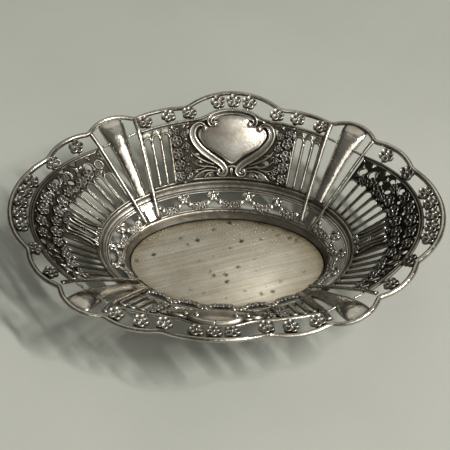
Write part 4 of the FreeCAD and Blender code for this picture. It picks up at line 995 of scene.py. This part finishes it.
# Galleries
def gallery(side):
    strip = GALLERIES[side]
    half, high = strip.run * 0.975, strip.slant - 0.2
    adds = [[[-half, 0.4], [half, 0.4], [half, 1.5], [-half, 1.5]],
            [[-half, high - 1.0], [half, high - 1.0], [half, high], [-half, high]]]
    rows = (0.0, 0.50) if strip.on_end else (0.22, 0.60)
    places = sorted({s * r * strip.run for r in rows for s in (1, -1)})
    hooks = [-half] + places + [half]
    swags = []
    for a, b in zip(hooks[:-1], hooks[1:]):
        t = np.linspace(0, 1, 17)
        sag = 4 * t * (1 - t)
        line = np.stack([a + (b - a) * t, high * (0.74 - 0.50 * sag ** 0.8)], 1)
        swags.append(line)
        adds.append(ribbon(line, 2.0))
    for m in places:
        adds.append([[m + x, high * y] for x, y in (
            (-1.3, 1.0), (-2.9, 0.66), (-1.6, 0.60), (-0.9, 0.72), (0, 0.40), (0.9, 0.72), (1.6, 0.60),
            (2.9, 0.66), (1.3, 1.0))])
    builder = Builder()
    sheet(builder, strip, adds, [], 1.1, 0.6, 0.45)
    lift = TOP - 0.15
    for k, line in enumerate(swags):
        for j in (1, 3, 5, 8, 11, 13, 15):
            p, q = line[j][0] / strip.run, line[j][1] / strip.slant
            swell = 0.55 + 0.45 * math.sin(math.pi * j / 16)
            origin, axes = strip.frame(p, q, lift, j * 0.7 + k)
            if j in (5, 8, 11):
                flower(builder, origin, axes, 2.7 * swell + 0.1, 1.35, 0.15, j + k)
            else:
                dome(builder, origin, axes, 1.55 * swell + 0.35, 1.0)
        for j, way in ((3, 1), (6, -1), (10, -1), (13, 1)):
            tip = line[j] + np.array([0.5 if j > 8 else -0.5, 2.0 * way])
            leaf(builder, strip, line[j], tip, 1.3, 0.7, lift, 0.2)
    for m in places:
        for way in (-1, 0, 1):
            root = (m + way * 0.5, high * 0.93)
            tip = (m + way * 2.7, high * (0.60 if way else 0.40))
            leaf(builder, strip, root, tip, 2.3, 1.2, lift, 0.25 * way)
        bead(builder, strip, (m, high * 0.92), lift, 1.0, 1.1)
    builder.make("gallery_" + side, carved)


for side in ("front", "back", "left", "right"):
    gallery(side)


# Cartouches
SHIELD_WIDTH = 38.9
SHIELD_HALF = ((0.0, 0.265), (0.06, 0.295), (0.14, 0.37), (0.24, 0.44), (0.33, 0.50), (0.42, 0.58),
               (0.47, 0.67), (0.497, 0.735), (0.492, 0.79), (0.465, 0.84), (0.42, 0.87), (0.36, 0.88),
               (0.30, 0.885), (0.262, 0.91), (0.238, 0.955), (0.205, 1.005), (0.14, 1.04), (0.07, 1.055),
               (0.0, 1.06))


def shield(side):
    strip = WALLS[side]
    right = smooth_line([(a * SHIELD_WIDTH, u * strip.slant) for a, u in SHIELD_HALF], 60)
    outline = np.concatenate([right, (right * np.array([-1, 1]))[-2:0:-1]])
    middle = np.array([0, 0.69 * strip.slant])
    reach = np.array([1.0, 0.985, 0.955, 0.93, 0.90, 0.84, 0.75, 0.65, 0.54, 0.42, 0.30, 0.18, 0.08])
    edge = [-0.1, 0.70, 0.80, 0.35] + [0.30] * (len(reach) - 4)
    lift = TOP + 0.15
    points = []
    for r, h in zip(reach, edge):
        spots = middle + (outline - middle) * r
        across, along = spots[:, 0] / 19.5, (spots[:, 1] - 0.70 * strip.slant) / 15.5
        swell = np.clip(1 - across ** 2 - along ** 2, 0, 1) ** 0.85
        points.append(strip.place(spots, lift + h + 3.3 * swell * min(1.0, (1 - r) / 0.10)))
    count = len(outline)
    flat = np.concatenate(points + [strip.place(middle[None], np.array([lift + 3.6]))])
    faces = grid_faces(len(reach), count, False, True)
    last = (len(reach) - 1) * count
    faces += [(last + k, last + (k + 1) % count, len(flat) - 1) for k in range(count)]
    faces.append(tuple(range(count))[::-1])
    builder = Builder()
    # Painted highlight and shade: the shield's right side (+x) gets more of the brightness value and its
    # left side less, so the right half reads bright and the left dark.
    offset = (flat[:, 0] - flat[-1, 0]) / 19.5
    builder.add(flat, faces, np.clip(0.72 + 0.55 * offset, 0.3, 1.0))
    builder.make("shield_" + side, smooth)


C_SCROLL = ((0.285, 0.850), (0.300, 0.895), (0.337, 0.925), (0.382, 0.905), (0.416, 0.84), (0.424, 0.74),
            (0.393, 0.63), (0.338, 0.52), (0.270, 0.43), (0.195, 0.35), (0.125, 0.275), (0.08, 0.20),
            (0.075, 0.135), (0.11, 0.10), (0.15, 0.12), (0.15, 0.17))
CREST_SCROLL = ((0.180, 0.905), (0.205, 0.895), (0.230, 0.925), (0.234, 0.98), (0.205, 1.04),
                (0.135, 1.085), (0.065, 1.105), (0.0, 1.11))
LINK = ((0.225, 0.955), (0.26, 0.985), (0.30, 0.985), (0.34, 0.955))
STEMS = ((((0.20, 0.27), (0.28, 0.31), (0.37, 0.385), (0.44, 0.475), (0.465, 0.53)), 1.7),
         (((0.165, 0.205), (0.25, 0.235), (0.34, 0.25), (0.42, 0.30), (0.47, 0.37)), 1.7),
         (((0.165, 0.155), (0.25, 0.175), (0.33, 0.165), (0.40, 0.12), (0.455, 0.055)), 1.8),
         (((0.21, 0.145), (0.27, 0.13), (0.31, 0.09), (0.325, 0.045)), 1.5),
         (((0.30, 0.225), (0.37, 0.20), (0.43, 0.205), (0.475, 0.24)), 1.3))
STEM_LEAVES = (((0.33, 0.30), (0.405, 0.335), 1.5), ((0.36, 0.43), (0.45, 0.44), 1.5),
               ((0.38, 0.16), (0.465, 0.155), 1.6), ((0.25, 0.13), (0.235, 0.055), 1.4),
               ((0.44, 0.40), (0.485, 0.455), 1.3))


def scroll_frame(side):
    """Double C scrolls beside and over the shield, with stems and leaves that grow from them."""
    strip = WALLS[side]
    lift = TOP + 0.05
    builder = Builder()
    t = np.linspace(0, 1, 96)
    swell = np.interp(t, [0, 0.1, 0.22, 0.5, 0.8, 0.92, 1], [0.4, 0.55, 0.95, 1.0, 0.85, 0.6, 0.4])
    for sign in (1, -1):
        main = strip.plan(C_SCROLL, sign)
        bar(builder, strip, smooth_line(main, 96), 4.5, 2.3, lift, DOUBLE, swell)
        for spot, size in ((main[0], 2.2), (main[-1], 1.6)):
            bead(builder, strip, spot, lift + 0.6, size, 2.8, 0.8)
        top = strip.plan(CREST_SCROLL, sign)
        bar(builder, strip, smooth_line(top, 44), 3.3, 2.4, lift + 0.4, DOUBLE, tapered(44, 0.6, 1.0, 0.25))
        bead(builder, strip, top[0], lift + 0.9, 2.2, 2.8, 1.1)
        link = smooth_line(strip.plan(LINK, sign), 20)
        bar(builder, strip, link, 1.2, 1.0, lift, ROUND, tapered(20, 0.4, 0.4))
        for rows, wide in STEMS:
            line = smooth_line(strip.plan(rows, sign), 30)
            bar(builder, strip, line, wide * 0.8, 1.3, lift, ROUND, tapered(30, 0.6, 0.2, 0.45))
        for a, b, wide in STEM_LEAVES:
            leaf(builder, strip, strip.plan(a, sign), strip.plan(b, sign), wide, 0.9, lift, 0.15 * sign)
    knot = smooth_line(strip.plan([(-0.06, 0.215), (0.0, 0.235), (0.06, 0.215)]), 14)
    bar(builder, strip, knot, 1.6, 1.3, lift)
    leaf(builder, strip, strip.plan((0, 0.22)), strip.plan((0, 0.09)), 2.2, 1.1, lift, 0.0)
    ground = ((-0.46, 0.055), (-0.2, 0.05), (0.0, 0.05), (0.2, 0.05), (0.46, 0.055))
    bar(builder, strip, smooth_line(strip.plan(ground), 60), 0.8, 0.5, TOP - 0.1)
    builder.make("scroll_frame_" + side, carved)


for side in ("front", "back"):
    shield(side)
    scroll_frame(side)


# Flowers of the walls
def flowers(name, strip, rows, leaves, buds, curls, seed):
    builder = Builder()
    lift = TOP + 0.02
    for k, (p, q, radius, rise) in enumerate(rows):
        turn = rand(k, seed) * 6.28
        origin, axes = strip.frame(p, q, lift, turn, 0.12 * (rand(k, seed, 3) - 0.5))
        flower(builder, origin, axes, radius, rise, 0.2, k + seed)
    for k, (a, b, width) in enumerate(leaves):
        leaf(builder, strip, strip.plan(a), strip.plan(b), width, 0.85, lift, 0.2 if k % 2 else -0.2)
    for k, (p, q, radius) in enumerate(buds):
        origin, axes = strip.frame(p, q, lift)
        dome(builder, origin, axes, radius, radius * 0.95)
    for p, q, radius, start, turns in curls:
        line = curl(strip.plan((p, q)), radius, start, turns, 40)
        bar(builder, strip, line, 0.65, 0.8, lift, ROUND, tapered(40, 0.3, 0.8))
    builder.make(name, carved if name.startswith("spray") else shaded_ornament)


SPRAY = ((0.61, 0.86, 2.5, 1.7), (0.605, 0.70, 3.3, 2.0), (0.61, 0.505, 3.4, 2.0), (0.60, 0.315, 3.4, 2.0),
         (0.61, 0.135, 3.0, 1.8), (0.515, 0.79, 2.2, 1.5), (0.505, 0.60, 2.1, 1.4),
         (0.505, 0.40, 1.9, 1.3), (0.505, 0.215, 2.0, 1.4))
SPRAY_LEAVES = (((0.62, 0.93), (0.66, 0.97), 1.6), ((0.55, 0.90), (0.50, 0.955), 1.9),
                ((0.49, 0.86), (0.45, 0.91), 1.7), ((0.655, 0.79), (0.67, 0.84), 1.5),
                ((0.53, 0.70), (0.48, 0.70), 1.7), ((0.655, 0.61), (0.67, 0.57), 1.5),
                ((0.53, 0.50), (0.47, 0.51), 1.7), ((0.655, 0.41), (0.67, 0.37), 1.5),
                ((0.53, 0.31), (0.48, 0.29), 1.6), ((0.53, 0.12), (0.49, 0.07), 1.6),
                ((0.655, 0.22), (0.67, 0.18), 1.4), ((0.58, 0.045), (0.53, 0.03), 1.4))
SPRAY_BUDS = ((0.665, 0.76, 0.7), (0.665, 0.68, 0.6), (0.665, 0.50, 0.7), (0.66, 0.45, 0.6),
              (0.665, 0.32, 0.7), (0.66, 0.27, 0.6), (0.665, 0.10, 0.7), (0.55, 0.59, 0.7),
              (0.55, 0.41, 0.7), (0.54, 0.22, 0.6), (0.475, 0.80, 0.8), (0.665, 0.90, 0.6))


def turned(rows, sign):
    return [(sign * r[0], *r[1:]) for r in rows]


def turned_leaves(rows, sign):
    return [((sign * a[0], a[1]), (sign * b[0], b[1]), width) for a, b, width in rows]


for side in ("front", "back"):
    for name, way in (("left", -1), ("right", 1)):
        sign = way if side == "front" else -way
        flowers("spray_%s_%s" % (side, name), WALLS[side], turned(SPRAY, sign),
                turned_leaves(SPRAY_LEAVES, sign),
                turned(SPRAY_BUDS, sign),
                [(sign * 0.475, 0.13, 1.5, 4.0 if sign > 0 else math.pi - 4.0, 1.4 * sign)],
                10 * (side == "back") + sign)

BOUQUET = ((0.0, 0.85, 3.9, 2.3), (0.165, 0.86, 3.8, 2.2), (0.33, 0.87, 3.6, 2.1), (0.082, 0.65, 3.8, 2.2),
           (0.245, 0.655, 3.9, 2.3), (0.41, 0.68, 3.6, 2.1), (0.0, 0.515, 2.2, 1.5))
BOUQUET_LEAVES = (((0.40, 0.80), (0.475, 0.93), 2.0), ((0.46, 0.62), (0.505, 0.55), 1.9),
                  ((0.083, 0.78), (0.082, 0.93), 1.9), ((0.16, 0.60), (0.165, 0.51), 1.9),
                  ((0.33, 0.61), (0.33, 0.52), 1.8), ((0.47, 0.74), (0.50, 0.82), 1.9),
                  ((0.25, 0.77), (0.245, 0.88), 1.8))
BOUQUET_BUDS = ((0.49, 0.86, 0.9), (0.05, 0.935, 0.8), (0.415, 0.565, 0.9))
FLANK_FLOWERS = ((0.515, 0.84, 2.5, 1.6), (0.605, 0.655, 3.7, 2.2), (0.735, 0.69, 3.5, 2.1),
                 (0.505, 0.62, 2.4, 1.5), (0.83, 0.64, 2.3, 1.5))
FLANK_LEAVES = (((0.745, 0.78), (0.755, 0.90), 2.2), ((0.66, 0.78), (0.655, 0.90), 1.9),
                ((0.85, 0.67), (0.855, 0.78), 1.8), ((0.57, 0.75), (0.555, 0.93), 1.9),
                ((0.67, 0.61), (0.685, 0.55), 1.9), ((0.78, 0.61), (0.80, 0.555), 1.8),
                ((0.87, 0.61), (0.92, 0.58), 1.7), ((0.86, 0.69), (0.945, 0.64), 1.6),
                ((0.93, 0.88), (0.955, 0.76), 1.5))
FLANK_BUDS = ((0.67, 0.70, 0.9), (0.545, 0.56, 0.9), (0.875, 0.64, 0.9), (0.855, 0.90, 0.9),
              (0.955, 0.93, 0.8))


for side in ("left", "right"):
    strip = WALLS[side]
    flowers("bouquet_" + side, strip, both(BOUQUET),
            turned_leaves(BOUQUET_LEAVES, 1) + turned_leaves(BOUQUET_LEAVES, -1),
            both(BOUQUET_BUDS), (), 40 + (side == "left"))
    for name, way in (("front", -1), ("back", 1)):
        sign = way if side == "right" else -way
        flowers("flank_%s_%s" % (side, name), strip, turned(FLANK_FLOWERS, sign),
                turned_leaves(FLANK_LEAVES, sign),
                turned(FLANK_BUDS, sign), (), 60 + sign + 3 * (side == "left"))


# Loops in the middle of the ends
LOOP = ((0.175, 0.075), (0.19, 0.045), (0.165, 0.03), (0.135, 0.06), (0.11, 0.13), (0.095, 0.24),
        (0.10, 0.36), (0.105, 0.43), (0.09, 0.485), (0.065, 0.49), (0.045, 0.44), (0.04, 0.34),
        (0.05, 0.22), (0.045, 0.12), (0.03, 0.06), (0.055, 0.035), (0.085, 0.05), (0.08, 0.085))
LOOP_STEM = ((0.215, 0.09), (0.17, 0.18), (0.15, 0.30), (0.155, 0.42), (0.175, 0.50))


def bracket(side):
    strip = WALLS[side]
    builder = Builder()
    lift = TOP + 0.1
    for sign in (1, -1):
        loop = strip.plan(LOOP, sign)
        bar(builder, strip, smooth_line(loop, 90), 1.75, 1.6, lift, ROUND, tapered(90, 0.7, 0.7, 0.08))
        stem = smooth_line(strip.plan(LOOP_STEM, sign), 40)
        bar(builder, strip, stem, 1.3, 1.3, lift, ROUND, tapered(40, 0.4, 0.4))
        for spot in (loop[0], loop[-1]):
            bead(builder, strip, spot, lift, 1.2, 1.7)
    for q in (0.24, 0.27):
        tie = strip.plan(np.stack([np.linspace(-0.05, 0.05, 9), np.full(9, q)], 1))
        bar(builder, strip, tie, 1.2, 1.3, lift)
    builder.make("bracket_" + side, shaded_ornament)


for side in ("left", "right"):
    bracket(side)


# Rosettes of the rim zone
SIDE_ROSETTES = (0.0, 0.140, 0.42, 0.66, 0.88)
END_ROSETTES = (0.0, 0.13, 0.26, 0.56, 0.82)


def rosettes(side):
    strip = WALLS[side]
    builder = Builder()
    shares = END_ROSETTES if strip.on_end else SIDE_ROSETTES
    for k, p in enumerate(sorted({s * r for r in shares for s in (1, -1)})):
        inner = rail_line(strip, np.array([p]))[0]
        outer = RIM[np.argmin(np.linalg.norm(RIM - inner, axis=1))]
        way = unit(outer - inner)
        along = unit(np.cross(way, UP))
        out = np.cross(along, way)
        origin = inner + (outer - inner) * 0.52 + out * 0.55
        turn = rand(k, 5) * 6.28
        x = way * math.cos(turn) + along * math.sin(turn)
        axes = np.stack([x, np.cross(out, x), out], 1)
        gap = np.linalg.norm(outer - inner)
        radius = 4.5 if strip.on_end else min(4.5, max(3.9, gap / 2 - 0.5))
        flower(builder, origin, axes, radius, 1.9, 1.0, k)
        wire(builder, np.linspace(inner, outer, 9) + out * -0.3, 0.75, 8)
    builder.make("rosettes_" + side, shaded_ornament if strip.on_end else carved)


for side in ("front", "back", "left", "right"):
    rosettes(side)


# Table
mesh = bpy.data.meshes.new("table_top")
reach = 40.0
corners = [(-reach, -reach, 0), (reach, -reach, 0), (reach, reach, 0), (-reach, reach, 0)]
mesh.from_pydata(corners, [], [(0, 1, 2, 3)])
table = new_object("table_top", mesh)
table.location = (0, 0, -0.0002)
cloth, tree, shader, where = new_material("table_paint_and_shade")
stains = noise(tree, where, 9.0, 5.0, 0.55).outputs["Fac"]
paint_and_shade = ramp(tree, stains, (0.35, (0.382, 0.394, 0.356)), (0.65, (0.408, 0.419, 0.381)))
# Painted shade: the table is dimmed to 0.84 beyond y = 0.26 m, fading in from y = 0.05 m, for the light that
# falls off towards the back.
paint_and_shade = painted_shade_along(tree, paint_and_shade, where, "Y", 0.05, 0.26, 1.0, 0.84)
tree.links.new(paint_and_shade, shader.inputs["Base Color"])
shader.inputs["Roughness"].default_value = 0.6
mesh.materials.append(cloth)


# Light
world = bpy.data.worlds.new("room")
bpy.context.scene.world = world
world.use_nodes = True
tree = world.node_tree
background = tree.nodes["Background"]
way = tree.nodes.new("ShaderNodeTexCoord").outputs["Generated"]
height = node(tree, "ShaderNodeSeparateXYZ", {"Vector": way}).outputs["Z"]
total = ramp(tree, height, (0.0, (0.020, 0.020, 0.017)), (0.25, (0.040, 0.040, 0.034)),
             (0.55, (0.10, 0.10, 0.088)), (1.0, (0.18, 0.18, 0.164)))


def glow(total, direction, outer, inner, colour):
    """Adds a soft bright patch of the room in one direction."""
    nearness = vector_math(tree, "DOT_PRODUCT", way, Vector(direction).normalized(), "Value")
    patch = ramp(tree, nearness, (outer, 0.0), (inner, colour))
    patch.node.color_ramp.interpolation = "EASE"
    return mix(tree, 1.0, total, patch, "ADD")


total = glow(total, (0.0, 0.62, 0.78), 0.84, 0.985, (0.66, 0.645, 0.59))
total = glow(total, (0.75, -0.24, 1.0), 0.88, 0.985, (0.55, 0.54, 0.51))
total = glow(total, (0.42, -0.66, 0.62), 0.87, 0.975, (2.1, 2.07, 1.95))
tree.links.new(total, background.inputs["Color"])
background.inputs["Strength"].default_value = 1.0


# A long lamp that points at the dish
light = bpy.data.lights.new("window", "AREA")
light.shape = "RECTANGLE"
light.size, light.size_y = 1.7, 0.14
light.energy = 180.0
light.color = (1, 0.98, 0.93)
place = Vector((2.55, -0.80, 3.40))
back = place.normalized()
run = Vector((0.62, -0.78, 0.0))
run = (run - back * run.dot(back)).normalized()
lamp = new_object("window", light)
lamp.matrix_world = Matrix.Translation(place) @ Matrix((run, back.cross(run), back)).transposed().to_4x4()

# Camera
camera_data = bpy.data.cameras.new("camera")
camera_data.lens = 95.29
camera_data.sensor_width = 36.0
camera = new_object("camera", camera_data)
forward = Vector((-0.0597, 0.65335, -0.7547)).normalized()
right = Vector((0.99774, 0.06246, -0.02485)).normalized()
upward = right.cross(forward).normalized()
turned_by = Matrix((right, upward, -forward)).transposed().to_4x4()
camera.matrix_world = Matrix.Translation(Vector((0.03944, -0.4342, 0.53476))) @ turned_by
bpy.context.scene.camera = camera
bpy.context.scene.view_settings.view_transform = "Standard"
